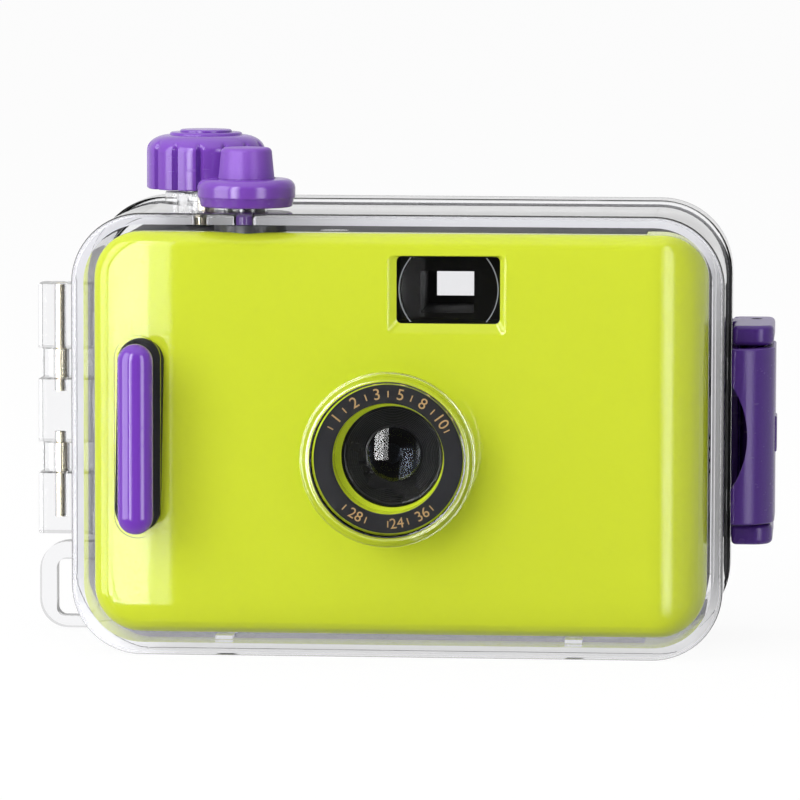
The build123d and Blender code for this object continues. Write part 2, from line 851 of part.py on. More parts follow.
# Latch lever: a curved cover from the pin to a nose that lies against the shell's side.
sweep_x = lever_side - lever_sweep_radius
sweep_y = lever_nose_y + lever_sweep_radius
inner_sweep = lever_sweep_radius - lever_wall
with BuildPart() as latch_lever:
    with BuildSketch(level(lever_bottom)):
        with BuildLine():
            Line((lever_tip_x, lever_nose_y), (sweep_x, lever_nose_y))
            JernArc((sweep_x, lever_nose_y), (1, 0), lever_sweep_radius, 90)
            Line((lever_side, sweep_y), (lever_side, latch_pin_y))
            Line((lever_side, latch_pin_y), (lever_side - lever_wall, latch_pin_y))
            Line((lever_side - lever_wall, latch_pin_y), (lever_side - lever_wall, sweep_y))
            JernArc((lever_side - lever_wall, sweep_y), (0, -1), inner_sweep, -90)
            Line((sweep_x, lever_nose_y + lever_wall), (sweep_x, lever_nose_y + lever_nose_depth))
            Line((sweep_x, lever_nose_y + lever_nose_depth), (lever_tip_x, lever_nose_y + lever_nose_depth))
            Line((lever_tip_x, lever_nose_y + lever_nose_depth), (lever_tip_x, lever_nose_y))
        make_face()
        with Locations((latch_pin_x, latch_pin_y)):
            Circle(lever_barrel_radius)
        with Locations((latch_pin_x, latch_pin_y)):
            Rectangle(lever_side - latch_pin_x, lever_barrel_radius, align=(Align.MIN, Align.MAX))
        with Locations((latch_pin_x, latch_pin_y)):
            Circle(latch_pin_radius + running_gap, mode=Mode.SUBTRACT)
    extrude(amount=lever_height)
    # Curved bite for a finger in the front edge.
    with BuildSketch(facing(sweep_y, grasp_reach - grasp_radius, ridge_middle)):
        Circle(grasp_radius)
    extrude(amount=2 * lever_sweep_radius, mode=Mode.SUBTRACT)
    # Raised mark on the side.
    with BuildSketch(Plane(origin=(lever_side, sweep_y, ridge_middle), x_dir=(0, 1, 0), z_dir=(1, 0, 0))):
        Rectangle(arrow_width, arrow_width, align=(Align.MIN, Align.CENTER))
    extrude(amount=arrow_proud)
latch_lever.part.label = "latch_lever"
export_step(latch_lever.part, "parts/latch_lever.step")


def camera_outline(inset=0.0):
    """Front outline of the camera, drawn inwards by an inset, on the sketch's own plane."""
    return RectangleRounded(camera_width - 2 * inset, camera_height - 2 * inset, camera_corner - inset)


def rounded_block(front, back, inset):
    """The camera's outline from front to back, with its two upright front edges rounded in plan."""
    left = camera_left + inset
    right = camera_right - inset
    left_round = cover_left_round - inset
    right_round = cover_right_round - inset
    with BuildPart() as block:
        with BuildSketch(facing(back, camera_x, camera_centre_z)):
            camera_outline(inset)
        extrude(amount=back - front)
        with BuildSketch(level(camera_bottom)):
            with BuildLine():
                Line((left, back), (left, front + left_round))
                JernArc((left, front + left_round), (0, -1), left_round, 90)
                Line((left + left_round, front), (right - right_round, front))
                JernArc((right - right_round, front), (1, 0), right_round, 90)
                Line((right, front + right_round), (right, back))
                Line((right, back), (left, back))
            make_face()
        extrude(amount=camera_height, mode=Mode.INTERSECT)
    return block.part


cover_outside = rounded_block(camera_front, wrap_back, 0.0)
cover_inside = rounded_block(camera_front + cover_wall, wrap_back + cover_wall, cover_wall)

# Front cover: the coloured face of the camera, deeper at its right end.
with BuildPart() as camera_front_cover:
    add(cover_outside)
    with BuildSketch(facing(camera_front, lens_x, lens_z)):
        Circle(boss_outer_radius)
    extrude(amount=camera_front - boss_front)
    add(cover_inside, mode=Mode.SUBTRACT)
    slab(camera_left - 1, cover_wrap_x, cover_back, wrap_back + 1, 0, case_height, Mode.SUBTRACT)
    with BuildSketch(facing(body_front, lens_x, lens_z)):
        Circle(boss_inner_radius)
    extrude(amount=body_front - boss_front, mode=Mode.SUBTRACT)
    with BuildSketch(facing(camera_front, finder_x, finder_z)):
        RectangleRounded(recess_width, recess_height, recess_corner)
    extrude(amount=-recess_depth, taper=recess_taper, mode=Mode.SUBTRACT)
    with BuildSketch(facing(body_front, finder_x, finder_z)):
        Rectangle(
            finder_width + 2 * finder_wall + 2 * nest_gap,
            finder_height + 2 * finder_wall + 2 * nest_gap,
        )
    extrude(amount=cover_wall + nest_gap, mode=Mode.SUBTRACT)
    with BuildSketch(level(plate_bottom, release_x, release_y)):
        Circle(release_radius + loose_gap)
    extrude(amount=2 * top_plate_thickness, mode=Mode.SUBTRACT)
camera_front_cover.part.label = "camera_front_cover"
export_step(camera_front_cover.part, "parts/camera_front_cover.step")

# Camera body: chambers, light tunnel and the deck that carries the wheelwork.
screw_places = [(side * screw_x + camera_x, screw_z) for side in (-1, 1)]
wheel_pocket_bottom = wheel_bottom - part_gap
blade_pin_x = lens_x - shutter_pivot_offset * math.sqrt(0.5)
blade_pin_z = lens_z + shutter_pivot_offset * math.sqrt(0.5)
with BuildPart() as camera_body:
    with BuildSketch(facing(body_back, camera_x, camera_centre_z)):
        camera_outline()
    extrude(amount=body_back - cover_back)
    slab(cover_wrap_x, camera_right + 1, cover_back - 1, wrap_back, 0, case_height, Mode.SUBTRACT)
    add(rounded_block(body_front, wrap_back + 1, cover_wall + nest_gap))
    slab(camera_left - 1, camera_right + 1, body_front - 1, body_back + 1, plate_bottom, case_height,
         Mode.SUBTRACT)
    slab(door_left - part_gap, door_right + part_gap, door_seat, body_back, door_bottom - part_gap,
         door_top + part_gap, Mode.SUBTRACT)
    # Film chambers, open to the back.
    with BuildSketch(level(chamber_bottom)):
        with Locations((cassette_x, cassette_y)):
            Circle(cassette_radius)
        with Locations((cassette_x, door_seat)):
            Rectangle(2 * cassette_radius, door_seat - cassette_y, align=(Align.CENTER, Align.MAX))
        with Locations((winder_x, winder_y)):
            Circle(spool_chamber_radius)
        with Locations((winder_x, door_seat)):
            Rectangle(2 * spool_chamber_radius, door_seat - winder_y, align=(Align.CENTER, Align.MAX))
    extrude(amount=chamber_top - chamber_bottom, mode=Mode.SUBTRACT)
    slab(winder_x, cassette_x, film_plane, door_seat, lens_z - film_height / 2, lens_z + film_height / 2,
         Mode.SUBTRACT)
    # Light tunnel from the lens to the film gate.
    with BuildSketch(facing(tunnel_front, lens_x, lens_z)):
        Rectangle(tunnel_front_width, tunnel_front_height)
    with BuildSketch(facing(door_seat, lens_x, lens_z)):
        Rectangle(gate_width, gate_height)
    loft(mode=Mode.SUBTRACT)
    # Lens seat and the pocket for the shutter.
    with BuildSketch(facing(lens_pocket_floor, lens_x, lens_z)):
        Circle(lens_pocket_radius)
    extrude(amount=lens_pocket_floor - body_front + 1, mode=Mode.SUBTRACT)
    with BuildSketch(facing(tunnel_front, lens_x, lens_z)):
        Circle(rear_lens_radius + bond_gap)
    extrude(amount=tunnel_front - lens_pocket_floor, mode=Mode.SUBTRACT)
    # Sprocket pocket and the bore for its shaft.
    with BuildSketch(level(sprocket_bottom - part_gap)):
        with Locations((sprocket_x, sprocket_y)):
            Circle(sprocket_radius + sprocket_room)
    extrude(amount=sprocket_thickness + 2 * part_gap, mode=Mode.SUBTRACT)
    with BuildSketch(level(sprocket_bottom)):
        with Locations((sprocket_x, sprocket_y)):
            Circle(sprocket_shaft_radius + running_gap)
    extrude(amount=plate_bottom - sprocket_bottom, mode=Mode.SUBTRACT)
    # Viewfinder passage: wide in front, narrow behind.
    wide_half = finder_width / 2 + finder_wall + nest_gap
    high_half = finder_height / 2 + finder_wall + nest_gap
    slab(finder_x - wide_half, finder_x + wide_half, body_front - 1, finder_step + nest_gap,
         finder_z - high_half, finder_z + high_half, Mode.SUBTRACT)
    eye_wide_half = eye_open_width / 2 + eye_wall + nest_gap
    eye_high_half = eye_open_height / 2 + eye_wall + nest_gap
    slab(eye_x - eye_wide_half, eye_x + eye_wide_half, finder_step, body_back,
         eye_z - eye_high_half, eye_z + eye_high_half, Mode.SUBTRACT)
    # Deck pockets: advance wheel, counter, its pinion and the release spring.
    with BuildSketch(level(wheel_pocket_bottom)):
        with Locations((winder_x, winder_y)):
            Circle(wheel_radius + part_gap)
        with Locations((counter_x, counter_y)):
            Circle(counter_radius + part_gap)
        with Locations((sprocket_x, sprocket_y)):
            Circle(pinion_radius + part_gap)
    extrude(amount=plate_bottom - wheel_pocket_bottom, mode=Mode.SUBTRACT)
    with BuildSketch(level(chamber_top, winder_x, winder_y)):
        Circle(spool_shaft_radius + running_gap)
    extrude(amount=wheel_pocket_bottom - chamber_top, mode=Mode.SUBTRACT)
    with BuildSketch(level(chamber_bottom, winder_x, winder_y)):
        Circle(spool_shaft_radius + running_gap)
    extrude(amount=-spool_foot, mode=Mode.SUBTRACT)
    with BuildSketch(level(release_pocket_bottom, release_stem_x, release_stem_y)):
        Circle(release_pocket_radius)
    extrude(amount=plate_bottom - release_pocket_bottom, mode=Mode.SUBTRACT)
    with BuildSketch(level(wheel_pocket_bottom, counter_x, counter_y)):
        Circle(counter_pivot_radius)
    extrude(amount=plate_bottom - wheel_pocket_bottom)
    # Round recess below for the rewind disc, and its shaft's bore.
    disc_roof = rewind_disc_bottom + rewind_disc_thickness + part_gap
    with BuildSketch(level(camera_bottom, cassette_x, cassette_y)):
        Circle(rewind_disc_radius + part_gap)
    extrude(amount=disc_roof - camera_bottom, mode=Mode.SUBTRACT)
    with BuildSketch(level(disc_roof, cassette_x, cassette_y)):
        Circle(rewind_shaft_radius + running_gap)
    extrude(amount=chamber_bottom - disc_roof, mode=Mode.SUBTRACT)
    # Groove for the sliding door latch, with room for its travel.
    slab(camera_right - latch_slide_thickness - running_gap, camera_right + 1,
         latch_slide_front - running_gap, latch_slide_back + running_gap,
         latch_slide_bottom, latch_slide_bottom + latch_slide_height + latch_travel + part_gap, Mode.SUBTRACT)
    # Seats for the film door's hinge pin and for the blade's pin.
    with BuildSketch(level(door_bottom - part_gap - door_pin_seat, door_pin_x, door_pin_y)):
        Circle(door_pin_radius + bond_gap)
    extrude(amount=door_top - door_bottom + 2 * part_gap + 2 * door_pin_seat, mode=Mode.SUBTRACT)
    with BuildSketch(facing(lens_pocket_floor, blade_pin_x, blade_pin_z)):
        Circle(shutter_pivot_radius)
    extrude(amount=-shutter_pin_seat, mode=Mode.SUBTRACT)
    # Holes for the two screws through the hood.
    for x, z in screw_places:
        with BuildSketch(facing(body_back, x, z)):
            Circle(screw_head_radius + bond_gap)
        extrude(amount=screw_head_height, mode=Mode.SUBTRACT)
        with BuildSketch(facing(body_back - screw_head_height, x, z)):
            Circle(screw_shank_radius + bond_gap)
        extrude(amount=screw_length, mode=Mode.SUBTRACT)
camera_body.part.label = "camera_body"
export_step(camera_body.part, "parts/camera_body.step")

# Top plate: closes the deck, with holes for the button, the wheel's hub and the counter window.
with BuildPart() as camera_top_plate:
    with BuildSketch(facing(body_back, camera_x, camera_centre_z)):
        camera_outline()
    extrude(amount=body_back - cover_back)
    slab(camera_left - 1, camera_right + 1, cover_back - 1, body_back + 1, 0, plate_bottom, Mode.SUBTRACT)
    slab(cover_wrap_x - nest_gap, camera_right + 1, cover_back - 1, wrap_back + nest_gap, 0, case_height,
         Mode.SUBTRACT)
    with BuildSketch(level(plate_bottom)):
        with Locations((release_x, release_y)):
            Circle(release_radius + loose_gap)
        with Locations((winder_x, winder_y)):
            Circle(wheel_hub_radius + loose_gap)
        with Locations((counter_x, counter_y - counter_radius / 2)):
            Circle(counter_window_radius)
    extrude(amount=top_plate_thickness, mode=Mode.SUBTRACT)
camera_top_plate.part.label = "camera_top_plate"
export_step(camera_top_plate.part, "parts/camera_top_plate.step")

# Counter window: a clear plug in the top plate.
with BuildPart() as counter_window:
    with BuildSketch(level(camera_top - counter_window_thickness, counter_x, counter_y - counter_radius / 2)):
        Circle(counter_window_radius - bond_gap)
    extrude(amount=counter_window_thickness)
counter_window.part.label = "counter_window"
export_step(counter_window.part, "parts/counter_window.step")

# Film door: a shallow black tray, bored on the left for its hinge pin.
door_middle_x = (door_left + door_right) / 2
door_middle_z = (door_bottom + door_top) / 2
with BuildPart() as camera_back_door:
    with BuildSketch(facing(body_back, door_middle_x, door_middle_z)):
        RectangleRounded(door_right - door_left, door_top - door_bottom, door_corner)
    extrude(amount=body_back - door_seat - part_gap)
    with BuildSketch(facing(body_back - door_skin, door_middle_x, door_middle_z)):
        RectangleRounded(
            door_right - door_left - 2 * door_rim,
            door_top - door_bottom - 2 * door_rim,
            door_corner / 2,
        )
    extrude(amount=body_back - door_skin - door_seat, mode=Mode.SUBTRACT)
    with BuildSketch(level(door_bottom, door_pin_x, door_pin_y)):
        Circle(door_pin_radius + bond_gap)
    extrude(amount=door_top - door_bottom, mode=Mode.SUBTRACT)
camera_back_door.part.label = "camera_back_door"
export_step(camera_back_door.part, "parts/camera_back_door.step")

# Hinge pin of the film door, seated in the body above and below it.
with BuildPart() as door_hinge_pin:
    with BuildSketch(level(door_bottom - part_gap - door_pin_seat, door_pin_x, door_pin_y)):
        Circle(door_pin_radius)
    extrude(amount=door_top - door_bottom + 2 * part_gap + 2 * door_pin_seat)
door_hinge_pin.part.label = "door_hinge_pin"
export_step(door_hinge_pin.part, "parts/door_hinge_pin.step")

# Door latch: a ribbed slide in the body's right side.
with BuildPart() as door_latch:
    slab(camera_right - latch_slide_thickness, camera_right, latch_slide_front, latch_slide_back,
         latch_slide_bottom, latch_slide_bottom + latch_slide_height)
    slide_middle = latch_slide_bottom + latch_slide_height / 2
    with BuildSketch(facing(latch_slide_back, camera_right, slide_middle)):
        with GridLocations(0, latch_groove_pitch, 1, latch_groove_count):
            Circle(latch_groove_radius)
    extrude(amount=latch_slide_back - latch_slide_front, mode=Mode.SUBTRACT)
door_latch.part.label = "door_latch"
export_step(door_latch.part, "parts/door_latch.step")

# Pressure plate and the bowed strip that pushes it.
with BuildPart() as pressure_plate:
    with BuildSketch(facing(plate_front, lens_x, lens_z)):
        RectangleRounded(plate_width, plate_height, plate_corner)
    extrude(amount=-plate_thickness)
pressure_plate.part.label = "pressure_plate"
export_step(pressure_plate.part, "parts/pressure_plate.step")

strip_front = plate_front + plate_thickness
strip_back = body_back - door_skin
with BuildPart() as pressure_spring:
    with BuildSketch(level(lens_z - spring_width / 2, lens_x)):
        with BuildLine():
            half = spring_length / 2
            ThreePointArc((-half, strip_front), (0, strip_back - spring_strip), (half, strip_front))
            Line((half, strip_front), (half, strip_front + spring_strip))
            ThreePointArc(
                (half, strip_front + spring_strip), (0, strip_back), (-half, strip_front + spring_strip)
            )
            Line((-half, strip_front + spring_strip), (-half, strip_front))
        make_face()
    extrude(amount=spring_width)
pressure_spring.part.label = "pressure_spring"
export_step(pressure_spring.part, "parts/pressure_spring.step")

# Screws through the hood: two of one kind.
with BuildPart() as camera_screws:
    for x, z in screw_places:
        with BuildSketch(facing(body_back, x, z)):
            Circle(screw_head_radius)
        extrude(amount=screw_head_height)
        with BuildSketch(facing(body_back - screw_head_height, x, z)):
            Circle(screw_shank_radius)
        extrude(amount=screw_length)
camera_screws.part.label = "camera_screws"
export_step(camera_screws.part, "parts/camera_screws.step")

# Finger pad: a black pad on the cover, behind the grip.
with BuildPart() as finger_pad:
    with BuildSketch(facing(camera_front, pad_x, pad_z)):
        SlotOverall(pad_height, pad_width, rotation=90)
    extrude(amount=pad_thickness)
finger_pad.part.label = "finger_pad"
export_step(finger_pad.part, "parts/finger_pad.step")

# Label ring on the front of the cover's lens boss.
lens_label_ring = ring(
    facing(boss_front, lens_x, lens_z), ring_outer_radius, ring_inner_radius, ring_thickness
)
lens_label_ring.part.label = "lens_label_ring"
export_step(lens_label_ring.part, "parts/lens_label_ring.step")

# Lens barrel: a flanged tube with a stepped cone down to the front element.
flange_back = body_front + barrel_flange_thickness
lens_edge = front_lens_back - front_lens_edge
cone_foot = front_lens_radius + bond_gap
with BuildPart() as lens_barrel:
    with BuildSketch(lens_section()):
        steps = []
        for number in range(cone_step_count):
            step_radius = cone_foot + (cone_front_radius - cone_foot) * (number + 1) / cone_step_count
            step_low = lens_edge + (barrel_front - lens_edge) * number / cone_step_count
            step_high = lens_edge + (barrel_front - lens_edge) * (number + 1) / cone_step_count
            steps += [(step_radius, step_low), (step_radius, step_high)]
        with BuildLine():
            Polyline(
                (barrel_radius, barrel_front),
                (barrel_radius, body_front),
                (barrel_flange_radius, body_front),
                (barrel_flange_radius, flange_back),
                (front_lens_radius - 2 * part_gap, flange_back),
                (front_lens_radius - 2 * part_gap, front_lens_back),
                (cone_foot, front_lens_back),
                (cone_foot, lens_edge),
                *steps,
                close=True,
            )
        make_face()
    revolve(axis=lens_axis)
lens_barrel.part.label = "lens_barrel"
export_step(lens_barrel.part, "parts/lens_barrel.step")


def domed_disc(radius, flat, edge, sagitta):
    """Lens element: flat side at one depth, edge at another, domed beyond the edge by the sagitta."""
    with BuildPart() as element:
        with BuildSketch(lens_section()):
            with BuildLine():
                crown = edge + sagitta
                curve = (radius**2 + sagitta**2) / (2 * sagitta)
                fall = abs(curve) - math.sqrt(curve**2 - radius**2 / 4)
                shoulder = (radius / 2, crown - math.copysign(fall, sagitta))
                Line((0, flat), (radius, flat))
                Line((radius, flat), (radius, edge))
                ThreePointArc((radius, edge), shoulder, (0, crown))
                Line((0, crown), (0, flat))
            make_face()
        revolve(axis=lens_axis)
    return element


lens_front_element = domed_disc(front_lens_radius, front_lens_back, lens_edge, -front_lens_dome)
lens_front_element.part.label = "lens_front_element"
export_step(lens_front_element.part, "parts/lens_front_element.step")

lens_rear_element = domed_disc(
    rear_lens_radius, rear_lens_front, rear_lens_front + rear_lens_thickness - rear_lens_dome, rear_lens_dome
)
lens_rear_element.part.label = "lens_rear_element"
export_step(lens_rear_element.part, "parts/lens_rear_element.step")

# Aperture plate behind the barrel.
aperture_plate = ring(
    facing(flange_back + aperture_thickness, lens_x, lens_z), barrel_flange_radius, aperture_radius,
    aperture_thickness,
)
aperture_plate.part.label = "aperture_plate"
export_step(aperture_plate.part, "parts/aperture_plate.step")

# Shutter blade: a thin disc over the aperture, on an arm from its pin.
blade_back = (flange_back + aperture_thickness + lens_pocket_floor + shutter_blade_thickness) / 2
with BuildPart() as shutter_blade:
    with BuildSketch(facing(blade_back)):
        with Locations((lens_x, lens_z)):
            Circle(shutter_blade_radius)
        with Locations((blade_pin_x, blade_pin_z)):
            Circle(shutter_eye_radius)
        with Locations(((blade_pin_x + lens_x) / 2, (blade_pin_z + lens_z) / 2)):
            Rectangle(shutter_pivot_offset, shutter_arm_width, rotation=-45)
        with Locations((blade_pin_x, blade_pin_z)):
            Circle(shutter_pivot_radius + running_gap, mode=Mode.SUBTRACT)
    extrude(amount=shutter_blade_thickness)
shutter_blade.part.label = "shutter_blade"
export_step(shutter_blade.part, "parts/shutter_blade.step")

with BuildPart() as shutter_blade_pin:
    with BuildSketch(facing(lens_pocket_floor + shutter_pin_seat, blade_pin_x, blade_pin_z)):
        Circle(shutter_pivot_radius)
    extrude(amount=shutter_pin_seat + lens_pocket_floor - flange_back - aperture_thickness)
shutter_blade_pin.part.label = "shutter_blade_pin"
export_step(shutter_blade_pin.part, "parts/shutter_blade_pin.step")

# Viewfinder: a wide box in front, a narrow tube behind, and a lens at each end.
with BuildPart() as viewfinder_tube:
    slab(finder_x - finder_width / 2 - finder_wall, finder_x + finder_width / 2 + finder_wall,
         finder_front, finder_step,
         finder_z - finder_height / 2 - finder_wall, finder_z + finder_height / 2 + finder_wall)
    slab(eye_x - eye_open_width / 2 - eye_wall, eye_x + eye_open_width / 2 + eye_wall,
         finder_step, finder_back,
         eye_z - eye_open_height / 2 - eye_wall, eye_z + eye_open_height / 2 + eye_wall)
    slab(finder_x - finder_width / 2, finder_x + finder_width / 2, finder_front, finder_step - eye_wall,
         finder_z - finder_height / 2, finder_z + finder_height / 2, Mode.SUBTRACT)
    slab(eye_x - eye_open_width / 2, eye_x + eye_open_width / 2, finder_front, finder_back,
         eye_z - eye_open_height / 2, eye_z + eye_open_height / 2, Mode.SUBTRACT)
viewfinder_tube.part.label = "viewfinder_tube"
export_step(viewfinder_tube.part, "parts/viewfinder_tube.step")

with BuildPart() as viewfinder_front_lens:
    with BuildSketch(facing(finder_lens_front, finder_x, finder_z)):
        RectangleRounded(finder_width - loose_gap, finder_height - loose_gap, recess_corner)
    extrude(amount=-finder_lens_thickness)
viewfinder_front_lens.part.label = "viewfinder_front_lens"
export_step(viewfinder_front_lens.part, "parts/viewfinder_front_lens.step")

with BuildPart() as viewfinder_eyepiece:
    with BuildSketch(facing(finder_back - part_gap, eye_x, eye_z)):
        Rectangle(eye_open_width - 2 * bond_gap, eye_open_height - 2 * bond_gap)
    extrude(amount=eye_lens_thickness)
viewfinder_eyepiece.part.label = "viewfinder_eyepiece"
export_step(viewfinder_eyepiece.part, "parts/viewfinder_eyepiece.step")

# Release button on top of the camera, its stem, and the spring under it.
with BuildPart() as release_button:
    with BuildSketch(level(release_bottom, release_x, release_y)):
        Circle(release_radius)
    extrude(amount=release_top - release_bottom)
    fillet(release_button.faces().sort_by(Axis.Z)[-1].edges(), release_round)
    with BuildSketch(level(release_stem_bottom, release_stem_x, release_stem_y)):
        Circle(release_stem_radius)
    extrude(amount=release_bottom - release_stem_bottom)
release_button.part.label = "release_button"
export_step(release_button.part, "parts/release_button.step")

release_spring = ring(
    level(release_pocket_bottom, release_stem_x, release_stem_y),
    release_pocket_radius - loose_gap,
    release_stem_radius + loose_gap,
    release_bottom - running_gap - release_pocket_bottom,
)
release_spring.part.label = "release_spring"
export_step(release_spring.part, "parts/release_spring.step")

# Advance wheel: notched round its edge, with a slotted hub for the winder's blade.
with BuildPart() as advance_wheel:
    with BuildSketch(level(wheel_bottom, winder_x, winder_y)):
        Circle(wheel_radius)
        with PolarLocations(wheel_radius, wheel_notches):
            Circle(wheel_notch_radius, mode=Mode.SUBTRACT)
    extrude(amount=wheel_thickness)
    with BuildSketch(level(wheel_bottom, winder_x, winder_y)):
        Circle(wheel_hub_radius)
    extrude(amount=wheel_hub_top - wheel_bottom)
    with BuildSketch(level(wheel_hub_top, winder_x, winder_y)):
        Rectangle(hub_slot_length, hub_slot_width)
    extrude(amount=-hub_slot_depth, mode=Mode.SUBTRACT)
advance_wheel.part.label = "advance_wheel"
export_step(advance_wheel.part, "parts/advance_wheel.step")

# Take-up spool on the wheel's axis.
spool_bottom = chamber_bottom + part_gap
spool_top = chamber_top - part_gap
with BuildPart() as take_up_spool:
    with BuildSketch(level(spool_bottom, winder_x, winder_y)):
        Circle(spool_core_radius)
    extrude(amount=spool_top - spool_bottom)
    for flange_base in (spool_bottom, spool_top - spool_flange_thickness):
        with BuildSketch(level(flange_base, winder_x, winder_y)):
            Circle(spool_flange_radius)
        extrude(amount=spool_flange_thickness)
    with BuildSketch(level(chamber_bottom - spool_foot + part_gap, winder_x, winder_y)):
        Circle(spool_shaft_radius)
    extrude(amount=wheel_bottom - chamber_bottom + spool_foot - part_gap)
    with Locations((winder_x, winder_y, lens_z)):
        Box(3 * spool_core_radius, spool_slot_width, spool_slot_height, mode=Mode.SUBTRACT)
take_up_spool.part.label = "take_up_spool"
export_step(take_up_spool.part, "parts/take_up_spool.step")

# Film sprocket with its shaft and the pinion beside the counter.
with BuildPart() as film_sprocket:
    with BuildSketch(level(sprocket_bottom, sprocket_x, sprocket_y)):
        Circle(sprocket_radius)
        with PolarLocations(sprocket_tooth_reach, sprocket_teeth):
            Circle(sprocket_tooth_radius)
    extrude(amount=sprocket_thickness)
    with BuildSketch(level(sprocket_bottom, sprocket_x, sprocket_y)):
        Circle(sprocket_shaft_radius)
    extrude(amount=counter_bottom - sprocket_bottom)
    with BuildSketch(level(counter_bottom, sprocket_x, sprocket_y)):
        Circle(pinion_radius)
    extrude(amount=counter_thickness)
film_sprocket.part.label = "film_sprocket"
export_step(film_sprocket.part, "parts/film_sprocket.step")

counter_disc = ring(
    level(counter_bottom, counter_x, counter_y),
    counter_radius,
    counter_pivot_radius + running_gap,
    counter_thickness,
)
counter_disc.part.label = "counter_disc"
export_step(counter_disc.part, "parts/counter_disc.step")

# Rewind shaft: a disc below with a slot for the crank, a shaft and a fork in the film chamber.
disc_top = rewind_disc_bottom + rewind_disc_thickness
crank_left = cassette_x - crank_length / 2
with BuildPart() as rewind_shaft:
    with BuildSketch(level(rewind_disc_bottom, cassette_x, cassette_y)):
        Circle(rewind_disc_radius)
    extrude(amount=rewind_disc_thickness)
    with BuildSketch(level(disc_top, cassette_x, cassette_y)):
        Circle(rewind_shaft_radius)
    extrude(amount=chamber_bottom + part_gap - disc_top)
    with BuildSketch(level(chamber_bottom + part_gap, cassette_x, cassette_y)):
        Circle(fork_radius)
        Rectangle(3 * fork_radius, fork_slot, mode=Mode.SUBTRACT)
    extrude(amount=fork_top - chamber_bottom - part_gap)
    with BuildSketch(level(rewind_disc_bottom, cassette_x, cassette_y)):
        SlotOverall(crank_length + 2 * bond_gap, crank_width + 2 * bond_gap)
    extrude(amount=crank_thickness + bond_gap, mode=Mode.SUBTRACT)
    with Locations((crank_left + crank_pin_inset, cassette_y, rewind_disc_bottom + crank_thickness / 2)):
        Cylinder(
            crank_pin_radius + bond_gap,
            crank_width + 2 * crank_pin_seat,
            rotation=(90, 0, 0),
            mode=Mode.SUBTRACT,
        )
rewind_shaft.part.label = "rewind_shaft"
export_step(rewind_shaft.part, "parts/rewind_shaft.step")

# Rewind crank, folded into the disc, and its pin.
with BuildPart() as rewind_crank:
    with BuildSketch(level(rewind_disc_bottom, cassette_x, cassette_y)):
        SlotOverall(crank_length, crank_width)
    extrude(amount=crank_thickness)
    with Locations((crank_left + crank_pin_inset, cassette_y, rewind_disc_bottom + crank_thickness / 2)):
        Cylinder(crank_pin_radius + bond_gap, crank_width, rotation=(90, 0, 0), mode=Mode.SUBTRACT)
rewind_crank.part.label = "rewind_crank"
export_step(rewind_crank.part, "parts/rewind_crank.step")

with BuildPart() as crank_pin:
    with Locations((crank_left + crank_pin_inset, cassette_y, rewind_disc_bottom + crank_thickness / 2)):
        Cylinder(crank_pin_radius, crank_width + 2 * crank_pin_seat, rotation=(90, 0, 0))
crank_pin.part.label = "crank_pin"
export_step(crank_pin.part, "parts/crank_pin.step")
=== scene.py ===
"""Looks of a plain 35 mm film camera in its clear hinged case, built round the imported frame.

Every size in the classes is in millimetres, in the camera's own frame: X to the right and Y away
from the viewer, seen from the front, and Z up from the flat base of the case.
"""

import logging
import math
from collections.abc import Callable, Iterable, Sequence
from dataclasses import dataclass
from enum import Enum

import bmesh
import bpy
from bpy.types import Material, Node, NodeSocket, NodeTree, Object
from mathutils import Matrix, Vector

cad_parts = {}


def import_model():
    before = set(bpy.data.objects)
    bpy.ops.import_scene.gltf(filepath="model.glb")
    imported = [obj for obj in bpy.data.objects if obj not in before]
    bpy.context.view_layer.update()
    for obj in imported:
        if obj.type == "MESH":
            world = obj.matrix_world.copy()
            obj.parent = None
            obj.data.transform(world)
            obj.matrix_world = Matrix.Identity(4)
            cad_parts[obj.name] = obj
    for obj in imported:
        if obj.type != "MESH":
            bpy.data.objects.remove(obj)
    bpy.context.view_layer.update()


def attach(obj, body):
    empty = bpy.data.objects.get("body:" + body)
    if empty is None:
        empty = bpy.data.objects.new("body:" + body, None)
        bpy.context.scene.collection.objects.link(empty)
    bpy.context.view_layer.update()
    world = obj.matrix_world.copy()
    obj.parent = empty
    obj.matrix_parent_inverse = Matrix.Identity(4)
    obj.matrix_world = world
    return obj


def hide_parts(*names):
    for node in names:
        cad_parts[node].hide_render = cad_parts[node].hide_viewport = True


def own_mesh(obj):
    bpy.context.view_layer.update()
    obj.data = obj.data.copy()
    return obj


log = logging.getLogger("film_camera")

Point = tuple[float, float, float]
Colour = tuple[float, float, float]
Profile = Sequence[tuple[float, float]]
Place = Callable[[Vector], bool]

MM = 0.001
FULL_TURN = 2 * math.pi
# How near a point counts as on a plane or a line, and on a turned circle with its flat facets.
ON_LINE = 0.01
ON_CIRCLE = 0.05
# How far a joined solid stays inside the faces of the one that it is joined with.
HAIR = 0.02
# Facets round pieces that are turned finely.
FINE = 128


class Body(Enum):
    """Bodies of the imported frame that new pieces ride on."""

    HOUSING = "housing"
    LID = "lid"
    LATCH = "latch"
    BUTTON = "button"
    WINDER = "winder"
    COUNTER = "counter"


class Axis(Enum):
    """Directions that pieces are turned about."""

    UPRIGHT = (0.0, 0.0, 1.0)
    LENS = (0.0, 1.0, 0.0)


class Effect(Enum):
    """Shader node groups that several finishes share."""

    GRAIN = "mould grain"
    TONE = "tone drift"
    HAIRLINES = "hairline scratches"


# Shader effects.


